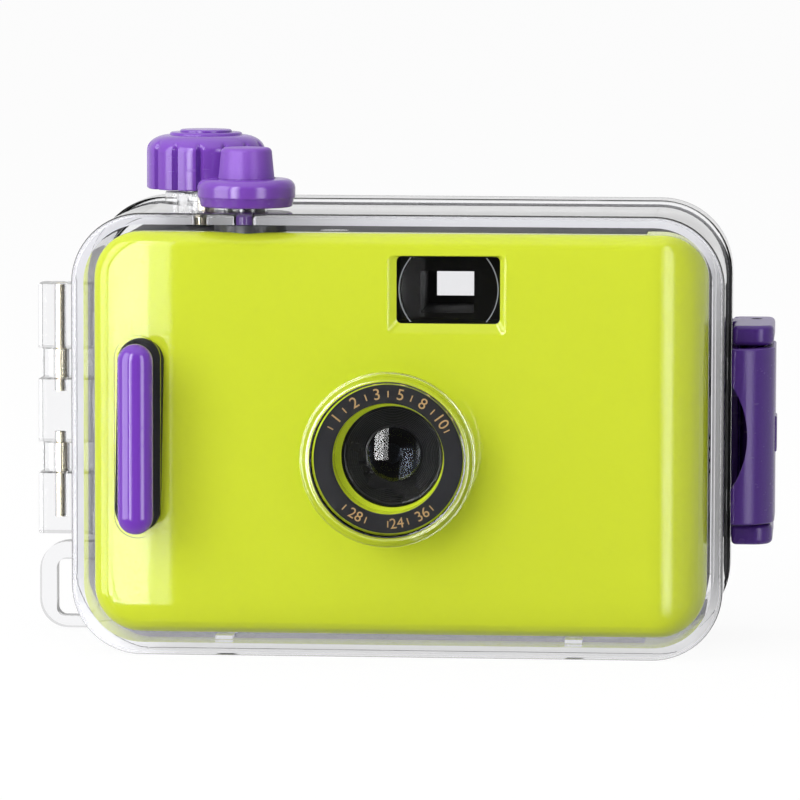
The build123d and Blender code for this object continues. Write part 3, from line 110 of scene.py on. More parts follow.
class NodeBoard:
    """Adds and joins nodes in one node tree."""

    def __init__(self, tree: NodeTree) -> None:
        """Takes the tree to work in."""
        self.tree = tree

    def feed(self, value: object, end: NodeSocket) -> None:
        """Feeds an input.

        Args:
            value: The socket that feeds it, or its plain value; a colour has three parts.
            end: The input.
        """
        if isinstance(value, NodeSocket):
            self.tree.links.new(value, end)
        else:
            end.default_value = (*value, 1.0) if end.type == "RGBA" else value

    def add(self, kind: str, **values: object) -> Node:
        """Adds a shader node.

        Args:
            kind: Type name of the node after its ShaderNode.
            values: Properties, or inputs named with underscores for spaces, as feed takes them.

        Returns:
            The new node.
        """
        node = self.tree.nodes.new("ShaderNode" + kind)
        for key, value in values.items():
            if hasattr(node, key):
                setattr(node, key, value)
            else:
                self.feed(value, node.inputs[key.replace("_", " ")])
        return node

    def slots(self, node: Node, *values: object) -> NodeSocket:
        """Feeds a node's inputs by their order.

        Args:
            node: The node.
            values: One value or socket for each input from the first on, or None to skip one.

        Returns:
            The node's first output.
        """
        for end, value in zip(node.inputs, values):
            if value is not None:
                self.feed(value, end)
        return node.outputs[0]

    def sum(self, operation: str, first: object, second: object) -> NodeSocket:
        """Adds a Math node.

        Args:
            operation: Name of the sum, such as MULTIPLY.
            first: Its first socket or number.
            second: Its second socket or number.

        Returns:
            The result's socket.
        """
        return self.slots(self.add("Math", operation=operation), first, second)

    def blend(self, share: NodeSocket, first: object, second: object) -> NodeSocket:
        """Goes from a first value to a second.

        Args:
            share: Share of the second value.
            first: The first socket or number.
            second: The second socket or number.

        Returns:
            The blended value's socket.
        """
        return self.slots(self.add("Mix", data_type="FLOAT"), share, None, first, second)

    def mix(self, share: NodeSocket, first: Node, second: Node) -> Node:
        """Mixes two shaders.

        Args:
            share: Share of the second shader.
            first: The first shader's node.
            second: The second shader's node.

        Returns:
            The mixed shader's node.
        """
        node = self.add("MixShader")
        self.slots(node, share, first.outputs[0], second.outputs[0])
        return node

    def ramp(self, value: NodeSocket, span: Sequence[float], result: Sequence[float]) -> NodeSocket:
        """Turns a span of values into another, smoothly.

        Args:
            value: The value.
            span: Where it starts and ends.
            result: What comes out at the start and the end.

        Returns:
            The result's socket.
        """
        return self.add(
            "MapRange", interpolation_type="SMOOTHSTEP", Value=value,
            From_Min=span[0], From_Max=span[1], To_Min=result[0], To_Max=result[1],
        ).outputs["Result"]

    def between(self, angle: NodeSocket, low: float, high: float, blur: float) -> NodeSocket:
        """Gives 1 where an angle lies between two limits, with soft sides, and 0 elsewhere.

        Args:
            angle: The angle in radians.
            low: Lower limit in degrees.
            high: Upper limit in degrees.
            blur: Half the width of the soft sides, in degrees.

        Returns:
            The mask's socket.
        """
        rise = (math.radians(low - blur), math.radians(low + blur))
        fall = (math.radians(high - blur), math.radians(high + blur))
        return self.sum("MULTIPLY", self.ramp(angle, rise, (0.0, 1.0)), self.ramp(angle, fall, (1.0, 0.0)))

    def rays(self) -> tuple[NodeSocket, NodeSocket]:
        """Tells apart the rays that haven't met a matt face yet.

        Returns:
            Masks of those that come straight or through clear pieces, and of the mirrored ones.
        """
        path = self.add("LightPath")
        untouched = self.sum("LESS_THAN", path.outputs["Diffuse Depth"], 0.5)
        straight = self.sum("MAXIMUM", path.outputs["Is Camera Ray"], path.outputs["Is Transmission Ray"])
        bounced = self.sum("GREATER_THAN", path.outputs["Glossy Depth"], 0.5)
        return self.sum("MULTIPLY", straight, untouched), self.sum("MULTIPLY", bounced, untouched)

    def spot(self) -> NodeSocket:
        """Gives the object's own coordinates."""
        return self.add("TexCoord").outputs["Object"]

    def bump(self, height: NodeSocket, strength: float, distance: float = 0.0001) -> NodeSocket:
        """Adds a bump.

        Args:
            height: The height's socket.
            strength: How strong it is.
            distance: How high it stands, in metres.

        Returns:
            The normal's socket.
        """
        return self.add("Bump", Strength=strength, Distance=distance, Height=height).outputs["Normal"]

    def effect(self, effect: Effect, **values: object) -> Node:
        """Places the group of a shared effect.

        Args:
            effect: Which effect.
            values: Its inputs, as add takes them.

        Returns:
            The group's node.
        """
        return self.add("Group", node_tree=EffectShelf.group(effect), **values)


class EffectShelf:
    """Builds each shared shader group once."""

    @staticmethod
    def group(effect: Effect) -> NodeTree:
        """Gives the node group of an effect.

        Args:
            effect: Which effect.

        Returns:
            The group, built at its first use.
        """
        found = bpy.data.node_groups.get(effect.value)
        if found:
            return found
        tree = bpy.data.node_groups.new(effect.value, "ShaderNodeTree")
        makers = {
            Effect.GRAIN: EffectShelf._grain,
            Effect.TONE: EffectShelf._tone,
            Effect.HAIRLINES: EffectShelf._hairlines,
        }
        makers[effect](NodeBoard(tree))
        return tree

    @staticmethod
    def _sockets(
        board: NodeBoard, inputs: dict[str, float | Colour], outputs: Sequence[str]
    ) -> tuple[Node, Node]:
        """Names a group's sockets.

        Args:
            board: Board of the group.
            inputs: Input names with their values; a triple makes a colour.
            outputs: Output names; one that starts with Colour makes a colour.

        Returns:
            The group's input and output nodes.
        """
        for name, value in inputs.items():
            plain = isinstance(value, float)
            kind = "NodeSocketFloat" if plain else "NodeSocketColor"
            socket = board.tree.interface.new_socket(name, in_out="INPUT", socket_type=kind)
            socket.default_value = value if plain else (*value, 1.0)
        for name in outputs:
            kind = "NodeSocketColor" if name.startswith("Colour") else "NodeSocketFloat"
            board.tree.interface.new_socket(name, in_out="OUTPUT", socket_type=kind)
        return board.tree.nodes.new("NodeGroupInput"), board.tree.nodes.new("NodeGroupOutput")

    @staticmethod
    def _grain(board: NodeBoard) -> None:
        """Fine moulded grain: a roughness that drifts and a height for a bump.

        Args:
            board: Board of the group.
        """
        start, end = EffectShelf._sockets(
            board, {"Scale": 2500.0, "Roughness": 0.3, "Spread": 0.05}, ("Roughness", "Height"),
        )
        spot = board.spot()
        fine = board.add("TexNoise", Vector=spot, Scale=start.outputs["Scale"], Detail=3.0)
        broad = board.add("TexNoise", Vector=spot, Scale=90.0, Detail=4.0)
        drift = board.sum("SUBTRACT", broad.outputs["Fac"], 0.5)
        spread = board.sum("MULTIPLY", drift, start.outputs["Spread"])
        doubled = board.sum("MULTIPLY", spread, 2.0)
        rough = board.sum("ADD", doubled, start.outputs["Roughness"])
        board.feed(rough, end.inputs["Roughness"])
        board.feed(fine.outputs["Fac"], end.inputs["Height"])

    @staticmethod
    def _tone(board: NodeBoard) -> None:
        """Slow drift of a colour between its own tone and a second one.

        Args:
            board: Board of the group.
        """
        start, end = EffectShelf._sockets(
            board, {"Colour": (0.5, 0.5, 0.5), "Second Colour": (0.4, 0.4, 0.4), "Scale": 60.0}, ("Colour",),
        )
        cloud = board.add(
            "TexNoise", Vector=board.spot(), Scale=start.outputs["Scale"], Detail=5.0, Roughness=0.6,
        )
        mix = board.add("Mix", data_type="RGBA")
        board.feed(cloud.outputs["Fac"], mix.inputs[0])
        board.feed(start.outputs["Colour"], mix.inputs[6])
        board.feed(start.outputs["Second Colour"], mix.inputs[7])
        board.feed(mix.outputs[2], end.inputs["Colour"])

    @staticmethod
    def _hairlines(board: NodeBoard) -> None:
        """Sparse straight hairlines from handling, as a mask.

        Args:
            board: Board of the group.
        """
        start, end = EffectShelf._sockets(board, {"Scale": 40.0, "Amount": 0.5}, ("Mask",))
        spot = board.spot()
        masks = []
        for turn in ((0.5, 0.85, 0.5), (-0.9, -1.53, 0.1)):
            stretched = board.add("Mapping", Vector=spot, Rotation=turn, Scale=(1.0, 24.0, 24.0))
            streak = board.add(
                "TexNoise", Vector=stretched.outputs["Vector"], Scale=start.outputs["Scale"], Detail=2.0,
            )
            thin = board.add("MapRange", Value=streak.outputs["Fac"], From_Min=0.70, From_Max=0.76)
            masks.append(thin.outputs["Result"])
        both = board.sum("MAXIMUM", *masks)
        board.feed(board.sum("MULTIPLY", both, start.outputs["Amount"]), end.inputs["Mask"])


# Finishes.


@dataclass(frozen=True)
class Finish:
    """What every finish shares: its name, and a material that is built at its first use."""

    name: str

    def make(self) -> Material:
        """Gives the finish's material.

        Returns:
            The material.
        """
        found = bpy.data.materials.get(self.name)
        if found:
            return found
        material = bpy.data.materials.new(self.name)
        material.use_nodes = True
        material.node_tree.nodes.clear()
        board = NodeBoard(material.node_tree)
        board.add("OutputMaterial", Surface=self.shader(board).outputs[0])
        return material

    def shader(self, board: NodeBoard) -> Node:
        """Stands for each finish's own shader."""
        raise NotImplementedError


@dataclass(frozen=True)
class Moulding(Finish):
    """An opaque moulded plastic or rubber."""

    colour: Colour
    second: Colour
    roughness: float = 0.3
    spread: float = 0.05
    grain: float = 2500.0
    bump: float = 0.04
    tone_scale: float = 60.0
    scratches: float = 0.15
    specular: float = 0.5

    def shader(self, board: NodeBoard) -> Node:
        """Builds a drifting tone under a fine grain.

        Args:
            board: Board of the material.

        Returns:
            The shader's node.
        """
        tone = board.effect(Effect.TONE, Colour=self.colour, Second_Colour=self.second, Scale=self.tone_scale)
        grain = board.effect(
            Effect.GRAIN, Scale=self.grain, Roughness=self.roughness, Spread=self.spread,
        )
        lines = board.effect(Effect.HAIRLINES, Amount=self.scratches)
        return board.add(
            "BsdfPrincipled", Base_Color=tone.outputs["Colour"], Specular_IOR_Level=self.specular,
            Roughness=board.sum("ADD", grain.outputs["Roughness"], lines.outputs["Mask"]),
            Normal=board.bump(grain.outputs["Height"], self.bump),
        )


@dataclass(frozen=True)
class Clear(Finish):
    """A clear plastic or glass that lets light fall through it."""

    tint: Colour
    ior: float = 1.49
    scratches: float = 0.0
    wave: float = 0.0

    def shader(self, board: NodeBoard) -> Node:
        """Builds a clear shader that is only a tint for shadows.

        Args:
            board: Board of the material.

        Returns:
            The shader's node.
        """
        lines = board.effect(Effect.HAIRLINES, Amount=self.scratches)
        wave = board.effect(Effect.GRAIN, Scale=40.0)
        clear = board.add(
            "BsdfPrincipled", Base_Color=self.tint, IOR=self.ior, Transmission_Weight=1.0,
            Roughness=lines.outputs["Mask"],
            Normal=board.bump(wave.outputs["Height"], self.wave, 0.0005),
        )
        through = board.add("BsdfTransparent", Color=self.tint)
        return board.mix(board.add("LightPath").outputs["Is Shadow Ray"], clear, through)


@dataclass(frozen=True)
class Metal(Finish):
    """A turned, drawn or brushed metal."""

    colour: Colour
    roughness: float = 0.3

    def shader(self, board: NodeBoard) -> Node:
        """Builds a metal with fine lines across.

        Args:
            board: Board of the material.

        Returns:
            The shader's node.
        """
        darker = tuple(part * 0.8 for part in self.colour)
        tone = board.effect(Effect.TONE, Colour=self.colour, Second_Colour=darker, Scale=300.0)
        lines = board.add("Mapping", Vector=board.spot(), Scale=(900.0, 900.0, 40.0))
        streak = board.add("TexNoise", Vector=lines.outputs["Vector"], Scale=3.0, Detail=3.0)
        rough = board.add(
            "MapRange", Value=streak.outputs["Fac"], To_Min=self.roughness * 0.7, To_Max=self.roughness * 1.5,
        )
        return board.add(
            "BsdfPrincipled", Base_Color=tone.outputs["Colour"], Metallic=1.0,
            Roughness=rough.outputs["Result"], Normal=board.bump(streak.outputs["Fac"], 0.05),
        )


@dataclass(frozen=True)
class PaintedGlowRim(Finish):
    """The matt end of a clear wall, with a painted glow that stands for the light running along the wall,
    strongest at its foot.
    """

    colour: Colour
    # Painted glow: emission at the foot and on the sides, and the height over which it fades between them.
    foot: float = 0.72
    sides: float = 0.24
    glow_fade_height: float = 0.011

    def shader(self, board: NodeBoard) -> Node:
        """Builds a matt shader with a painted glow, stronger towards its foot.

        Args:
            board: Board of the material.

        Returns:
            The shader's node.
        """
        darker = tuple(part * 0.94 for part in self.colour)
        tone = board.effect(Effect.TONE, Colour=self.colour, Second_Colour=darker)
        axes = board.add("SeparateXYZ", Vector=board.spot())
        # Painted glow fed to the emission, fading from the foot up to the sides.
        glow = board.add(
            "MapRange", Value=axes.outputs["Z"],
            From_Max=self.glow_fade_height, To_Min=self.foot, To_Max=self.sides,
        )
        grain = board.effect(Effect.GRAIN)
        return board.add(
            "BsdfPrincipled", Base_Color=tone.outputs["Colour"], Roughness=0.6,
            Emission_Color=glow.outputs["Result"], Emission_Strength=1.0,
            Normal=board.bump(grain.outputs["Height"], 0.1),
        )


@dataclass(frozen=True)
class PaleFloor(Finish):
    """A pale matt floor that glows where it is seen and is left out of mirror images."""

    colour: Colour
    glow: float

    def shader(self, board: NodeBoard) -> Node:
        """Builds the floor's shader.

        Args:
            board: Board of the material.

        Returns:
            The shader's node.
        """
        seen, mirrored = board.rays()
        matt = board.add("BsdfDiffuse", Color=self.colour)
        glow = board.add("Emission", Color=(1.0, 1.0, 1.0), Strength=1.0)
        lit = board.mix(board.sum("MULTIPLY", seen, self.glow), matt, glow)
        return board.mix(mirrored, lit, board.add("BsdfTransparent"))


CASE_CLEAR = Clear("clear case polycarbonate", (0.982, 0.982, 0.992), 1.42, scratches=0.04, wave=0.02)
PORT_BEAD = Clear("moulded rim of the port", (0.95, 0.95, 0.95), 1.6)
PORT_CLEAR = Clear("polished port window", (0.98, 0.985, 0.985))
FINDER_CLEAR = Clear("clear viewfinder acrylic", (0.995, 0.995, 0.995), 1.15)
LENS_GLASS = Clear("coated lens glass", (0.2, 0.225, 0.27), 1.52)
# Pale rim face with a painted glow, standing for the light that comes through the clear wall.
RIM_PAINTED_GLOW = PaintedGlowRim("matt rim face with painted glow", (0.8, 0.8, 0.85))
COVER_GREEN = Moulding(
    "glossy yellow-green cover", (0.77, 0.88, 0.045), (0.755, 0.865, 0.04), 0.08,
    spread=0.02, bump=0.01, scratches=0.04,
)
GRIP_PURPLE = Moulding("glossy purple grip", (0.15, 0.04, 0.4), (0.135, 0.035, 0.37), 0.1, bump=0.02)
KNOB_PURPLE = Moulding(
    "semi-gloss purple knob", (0.175, 0.055, 0.42), (0.16, 0.048, 0.385), 0.2, bump=0.05,
)
COLLAR_PURPLE = Moulding("glossy purple collar", (0.17, 0.055, 0.4), (0.155, 0.048, 0.365), 0.18)
BUTTON_PURPLE = Moulding(
    "satin purple button", (0.19, 0.065, 0.43), (0.16, 0.052, 0.37), 0.42,
    bump=0.2, grain=4000.0, tone_scale=2500.0,
)
LATCH_PURPLE = Moulding(
    "grainy purple latch", (0.072, 0.026, 0.205), (0.056, 0.018, 0.165), 0.26,
    bump=0.22, grain=3600.0, tone_scale=2200.0, specular=0.36,
)
BODY_BLACK = Moulding(
    "fine-textured black body", (0.018, 0.018, 0.02), (0.03, 0.03, 0.033), 0.42,
    bump=0.3, grain=2600.0, tone_scale=900.0, specular=0.12,
)
PLAIN_BLACK = Moulding("plain black moulding", (0.012, 0.012, 0.014), (0.02, 0.02, 0.022), specular=0.22)
FINDER_BLACK = Moulding(
    "matt viewfinder black", (0.008, 0.008, 0.007), (0.012, 0.012, 0.01), 0.55, specular=0.04,
)
PAD_BLACK = Moulding(
    "soft black pad", (0.01, 0.01, 0.011), (0.018, 0.018, 0.02), 0.5, bump=0.15, specular=0.25,
)
RUBBER = Moulding("matt black rubber", (0.008, 0.008, 0.009), (0.014, 0.014, 0.015), 0.7, bump=0.1)
LABEL_CHARCOAL = Moulding(
    "satin charcoal ring", (0.014, 0.014, 0.017), (0.018, 0.018, 0.021), 0.36,
    grain=5000.0, specular=0.3,
)
BARREL_BLACK = Moulding(
    "black lens barrel", (0.006, 0.006, 0.007), (0.01, 0.01, 0.011), 0.28, specular=0.35,
)
CHARCOAL = Moulding("satin charcoal button", (0.045, 0.045, 0.052), (0.06, 0.06, 0.07), 0.35)
COUNTER_WHITE = Moulding("white counter disc", (0.8, 0.8, 0.78), (0.74, 0.74, 0.72), 0.5)
COUNTER_INK = Moulding("black counter ink", (0.02, 0.02, 0.02), (0.03, 0.03, 0.03), 0.6)
GOLD_INK = Moulding("gold printed marks", (0.66, 0.42, 0.17), (0.56, 0.34, 0.13), 0.45, bump=0.0)
# Pale grey painted sheen for the bright rim of the clear viewfinder lens.
LENS_EDGE_SHEEN = Moulding("lens edge with painted sheen", (0.42, 0.44, 0.47), (0.36, 0.38, 0.41), 0.25, bump=0.0)
PIN_STEEL = Metal("warm turned steel pin", (0.72, 0.66, 0.5), 0.22)
SPRING_STEEL = Metal("drawn spring wire", (0.62, 0.62, 0.62))
SCREW_STEEL = Metal("zinc-plated screw", (0.55, 0.56, 0.58))
DARK_STEEL = Metal("blackened steel plate", (0.16, 0.16, 0.17), 0.35)
FLOOR_PALE = PaleFloor("pale floor", (0.9, 0.9, 0.9), 0.93)


# Modelling.


def level(axis: str, *values: float) -> Place:
    """Picks what lies at certain levels.

    Args:
        axis: Letter of the axis that the levels are measured along.
        values: The levels.

    Returns:
        The test of a point.
    """
    return lambda spot: any(abs(getattr(spot, axis) - value) < ON_LINE for value in values)


def post(x: float, y: float) -> Place:
    """Picks what lies on an upright line.

    Args:
        x: Where the line stands.
        y: Where the line stands.

    Returns:
        The test of a point.
    """
    return lambda spot: math.hypot(spot.x - x, spot.y - y) < ON_LINE


def circle(centre: Point, radius: float, *heights: float) -> Place:
    """Picks the edges of level circles about an upright axis.

    Args:
        centre: A point of the axis.
        radius: The circles' radius.
        heights: Their heights.

    Returns:
        The test of a point.
    """
    at_height = level("z", *heights)
    x, y, _ = centre
    return lambda spot: abs(math.hypot(spot.x - x, spot.y - y) - radius) < ON_CIRCLE and at_height(spot)


class Workpiece:
    """A mesh in the making, in millimetres, kept in one bmesh."""

    def __init__(self) -> None:
        """Starts empty."""
        self.bm = bmesh.new()

    def block(self, low: Point, high: Point) -> "Workpiece":
        """Adds a box between two corners.

        Args:
            low: Its lowest corner.
            high: Its highest corner.

        Returns:
            The workpiece.
        """
        verts = bmesh.ops.create_cube(self.bm, size=1.0)["verts"]
        bmesh.ops.scale(self.bm, vec=Vector(high) - Vector(low), verts=verts)
        bmesh.ops.translate(self.bm, vec=(Vector(high) + Vector(low)) / 2, verts=verts)
        return self

    def slab(self, low: Point, high: Point, radius: float, segments: int) -> "Workpiece":
        """Adds a box with its edges along Y rounded.

        Args:
            low: Its lowest corner.
            high: Its highest corner.
            radius: Radius of the roundings.
            segments: Facets across each.

        Returns:
            The workpiece.
        """
        return self.block(low, high).soften(radius, segments, level("y", (low[1] + high[1]) / 2))

    def prism(self, outline: Iterable[Point], push: Point) -> "Workpiece":
        """Adds a flat outline pushed out into a solid.

        Args:
            outline: Its corners in order.
            push: How far and which way it is pushed.

        Returns:
            The workpiece.
        """
        face = self.bm.faces.new([self.bm.verts.new(corner) for corner in outline])
        grown = bmesh.ops.extrude_face_region(self.bm, geom=[face])["geom"]
        verts = [item for item in grown if isinstance(item, bmesh.types.BMVert)]
        bmesh.ops.translate(self.bm, vec=push, verts=verts)
        return self

    def turned(
        self, profile: Profile, centre: Point, axis: Axis = Axis.UPRIGHT, steps: int = 96
    ) -> "Workpiece":
        """Adds a shape turned from a profile.

        Args:
            profile: Radius and height of each corner; it is closed unless it starts and ends on the axis.
            centre: A point of the axis.
            axis: Direction of the axis.
            steps: Facets round the axis.

        Returns:
            The workpiece.
        """
        x, y, z = centre
        spots = [(x + r, y, h) if axis is Axis.UPRIGHT else (x + r, h, z) for r, h in profile]
        verts = [self.bm.verts.new(spot) for spot in spots]
        pairs = list(zip(verts, verts[1:]))
        if profile[0][0] > 0 or profile[-1][0] > 0:
            pairs.append((verts[-1], verts[0]))
        edges = [self.bm.edges.new(pair) for pair in pairs]
        bmesh.ops.spin(
            self.bm, geom=verts + edges, cent=centre, axis=axis.value, dvec=(0, 0, 0),
            angle=FULL_TURN, steps=steps, use_merge=True, use_duplicate=False,
        )
        bmesh.ops.remove_doubles(self.bm, verts=self.bm.verts, dist=0.0005)
        bmesh.ops.recalc_face_normals(self.bm, faces=self.bm.faces)
        return self

    def tube(
        self, radii: tuple[float, float], low: float, high: float, centre: Point,
        axis: Axis = Axis.UPRIGHT, steps: int = 96,
    ) -> "Workpiece":
        """Adds a plain ring, or a rod where its inner radius is 0.

        Args:
            radii: Inner and outer radius.
            low: Where it starts along the axis.
            high: Where it ends.
            centre: A point of the axis.
            axis: Direction of the axis.
            steps: Facets round the axis.

        Returns:
            The workpiece.
        """
        inner, outer = radii
        corners = ((inner, low), (outer, low), (outer, high), (inner, high))
        return self.turned(corners, centre, axis, steps)

    def soften(
        self, radius: float, segments: int = 3, where: Place | None = None, angle: float = 30.0
    ) -> "Workpiece":
        """Rounds the sharp edges.

        Args:
            radius: Offset of the rounding.
            segments: Facets across it.
            where: Takes an edge's middle, and says whether the edge is rounded.
            angle: Edges that turn by more than these degrees are sharp.

        Returns:
            The workpiece.
        """
        edges = [
            edge
            for edge in self.bm.edges
            if len(edge.link_faces) == 2
            and edge.calc_face_angle(0.0) > math.radians(angle)
            and (where is None or where((edge.verts[0].co + edge.verts[1].co) / 2))
        ]
        bmesh.ops.bevel(
            self.bm, geom=edges, offset=radius, offset_type="OFFSET", segments=segments, profile=0.5,
            affect="EDGES", clamp_overlap=True, material=-1,
        )
        return self

    def slice(self, spot: Point, normal: Point, remove: bool = False) -> "Workpiece":
        """Cuts the mesh along a plane.

        Args:
            spot: A point of the plane.
            normal: The plane's normal.
            remove: Whether what lies beyond the plane goes, and the cut is closed.

        Returns:
            The workpiece.
        """
        cut = bmesh.ops.bisect_plane(
            self.bm, geom=[*self.bm.verts, *self.bm.edges, *self.bm.faces],
            dist=0.0001, plane_co=spot, plane_no=normal, clear_outer=remove,
        )
        if remove:
            rim = [item for item in cut["geom_cut"] if isinstance(item, bmesh.types.BMEdge)]
            bmesh.ops.contextual_create(self.bm, geom=rim)
        return self

    def shift(self, move: Callable[[Vector], Vector]) -> "Workpiece":
        """Moves every point.

        Args:
            move: Takes a point's place and gives how far it moves.

        Returns:
            The workpiece.
        """
        for vert in self.bm.verts:
            vert.co += move(vert.co)
        return self

    def place(self, matrix: Matrix) -> "Workpiece":
        """Turns and moves the whole mesh.

        Args:
            matrix: The movement.

        Returns:
            The workpiece.
        """
        bmesh.ops.transform(self.bm, matrix=matrix, verts=self.bm.verts)
        return self

    def join(self, *others: "Workpiece") -> "Workpiece":
        """Takes over other workpieces' meshes.

        Args:
            others: The workpieces.

        Returns:
            The workpiece.
        """
        for other in others:
            mesh = bpy.data.meshes.new("joined")
            other.bm.to_mesh(mesh)
            self.bm.from_mesh(mesh)
            bpy.data.meshes.remove(mesh)
        return self

    def _bare(self, name: str) -> Object:
        """Puts the mesh as it stands into the scene.

        Args:
            name: Name of the object.

        Returns:
            The plain object.
        """
        mesh = bpy.data.meshes.new(name)
        bmesh.ops.recalc_face_normals(self.bm, faces=self.bm.faces)
        self.bm.to_mesh(mesh)
        holder = bpy.data.objects.new(name, mesh)
        bpy.context.scene.collection.objects.link(holder)
        return holder

    def cut(self, *tools: "Workpiece") -> "Workpiece":
        """Cuts other solids out of this one.

        Args:
            tools: The solids.

        Returns:
            The workpiece.
        """
        blank = self._bare("blank")
        cutters = [tool._bare("cutter") for tool in tools]
        for cutter in cutters:
            step = blank.modifiers.new("cut", "BOOLEAN")
            step.operation = "DIFFERENCE"
            step.solver = "EXACT"
            step.object = cutter
        graph = bpy.context.evaluated_depsgraph_get()
        mesh = bpy.data.meshes.new_from_object(blank.evaluated_get(graph))
        self.bm.clear()
        self.bm.from_mesh(mesh)
        bpy.data.meshes.remove(mesh)
        for spent in (blank, *cutters):
            bpy.data.objects.remove(spent)
        bmesh.ops.remove_doubles(self.bm, verts=self.bm.verts, dist=0.001)
        return self

    def finish(
        self, name: str, body: Body, slot: str, finish: Finish, replaces: str = "",
        sharp: float = 32.0, weigh: bool = True,
    ) -> Object:
        """Makes the finished piece.

        Args:
            name: The piece's name.
            body: The body that it rides on.
            slot: Name of a material slot; not used.
            finish: Its finish.
            replaces: The CAD node that it stands for, if any.
            sharp: Edges that turn by more than these degrees stay sharp.
            weigh: Whether large faces lead the shading of the roundings beside them.

        Returns:
            The piece.
        """
        bmesh.ops.remove_doubles(self.bm, verts=self.bm.verts, dist=0.0005)
        bmesh.ops.recalc_face_normals(self.bm, faces=self.bm.faces)
        for face in self.bm.faces:
            face.smooth = True
        for edge in self.bm.edges:
            edge.smooth = edge.is_manifold and edge.calc_face_angle(0.0) < math.radians(sharp)
        bmesh.ops.scale(self.bm, vec=(MM, MM, MM), verts=self.bm.verts)
        mesh = bpy.data.meshes.new(name)
        self.bm.to_mesh(mesh)
        self.bm.free()
        piece = bpy.data.objects.new(name, mesh)
        bpy.context.scene.collection.objects.link(piece)
        mesh.materials.append(finish.make())
        if weigh:
            step = piece.modifiers.new("weighted normals", "WEIGHTED_NORMAL")
            step.keep_sharp = True
        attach(piece, body.value)
        if replaces:
            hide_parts(replaces)
        log.info("%s: %d faces, rides on %s, finish %s", name, len(mesh.polygons), body.value, finish.name)
        return piece


def lettering(text: str, height: float, place: Matrix) -> Workpiece:
    """Makes flat figures as a thin solid.

    Args:
        text: What is written.
        height: Height of the font.
        place: Puts the text, drawn in the XY plane about its own centre, where it belongs.

    Returns:
        The figures.
    """
    curve = bpy.data.curves.new("figures", "FONT")
    curve.body = text
    curve.size = height
    curve.extrude = 0.015
    curve.align_x = "CENTER"
    curve.align_y = "CENTER"
    holder = bpy.data.objects.new("figures", curve)
    bpy.context.scene.collection.objects.link(holder)
    graph = bpy.context.evaluated_depsgraph_get()
    mesh = bpy.data.meshes.new_from_object(holder.evaluated_get(graph))
    bpy.data.objects.remove(holder)
    made = Workpiece()
    made.bm.from_mesh(mesh)
    bpy.data.meshes.remove(mesh)
    bmesh.ops.remove_doubles(made.bm, verts=made.bm.verts, dist=0.004)
    bmesh.ops.dissolve_degenerate(made.bm, dist=0.002, edges=made.bm.edges)
    return made.place(place)


def dress(finish: Finish, *nodes: str) -> None:
    """Gives CAD nodes that stay their finish.

    Args:
        finish: The finish.
        nodes: The nodes' names.
    """
    for node in nodes:
        piece = bpy.data.objects[node]
        piece.data.materials.clear()
        piece.data.materials.append(finish.make())
        log.info("%s: CAD node, finish %s", node, finish.name)


@dataclass(frozen=True)
class Coil:
    """An open coil spring on an upright axis."""

    name: str
    node: str
    joint: str
    centre: Point
    radius: float
    wire: float
    low: float
    high: float
    turns: int
    seat: float
    room: float
    travel: float

    def build(self) -> None:
        """Winds the coil."""
        x, y, _ = self.centre
        steps = 20 * self.turns
        made = Workpiece()
        across = Matrix.Translation((x + self.radius, y, self.low)) @ Matrix.Rotation(math.pi / 2, 4, "X")
        ends = bmesh.ops.create_circle(
            made.bm, cap_ends=True, radius=self.wire, segments=8, matrix=across,
        )["verts"]
        faces = list({face for vert in ends for face in vert.link_faces})
        bmesh.ops.spin(
            made.bm, geom=faces, cent=self.centre, axis=Axis.UPRIGHT.value,
            dvec=(0, 0, (self.high - self.low) / steps), angle=FULL_TURN * self.turns, steps=steps,
            use_merge=False, use_duplicate=False,
        )
        piece = made.finish(self.name, Body.HOUSING, "spring_steel", SPRING_STEEL, self.node)
        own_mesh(piece)


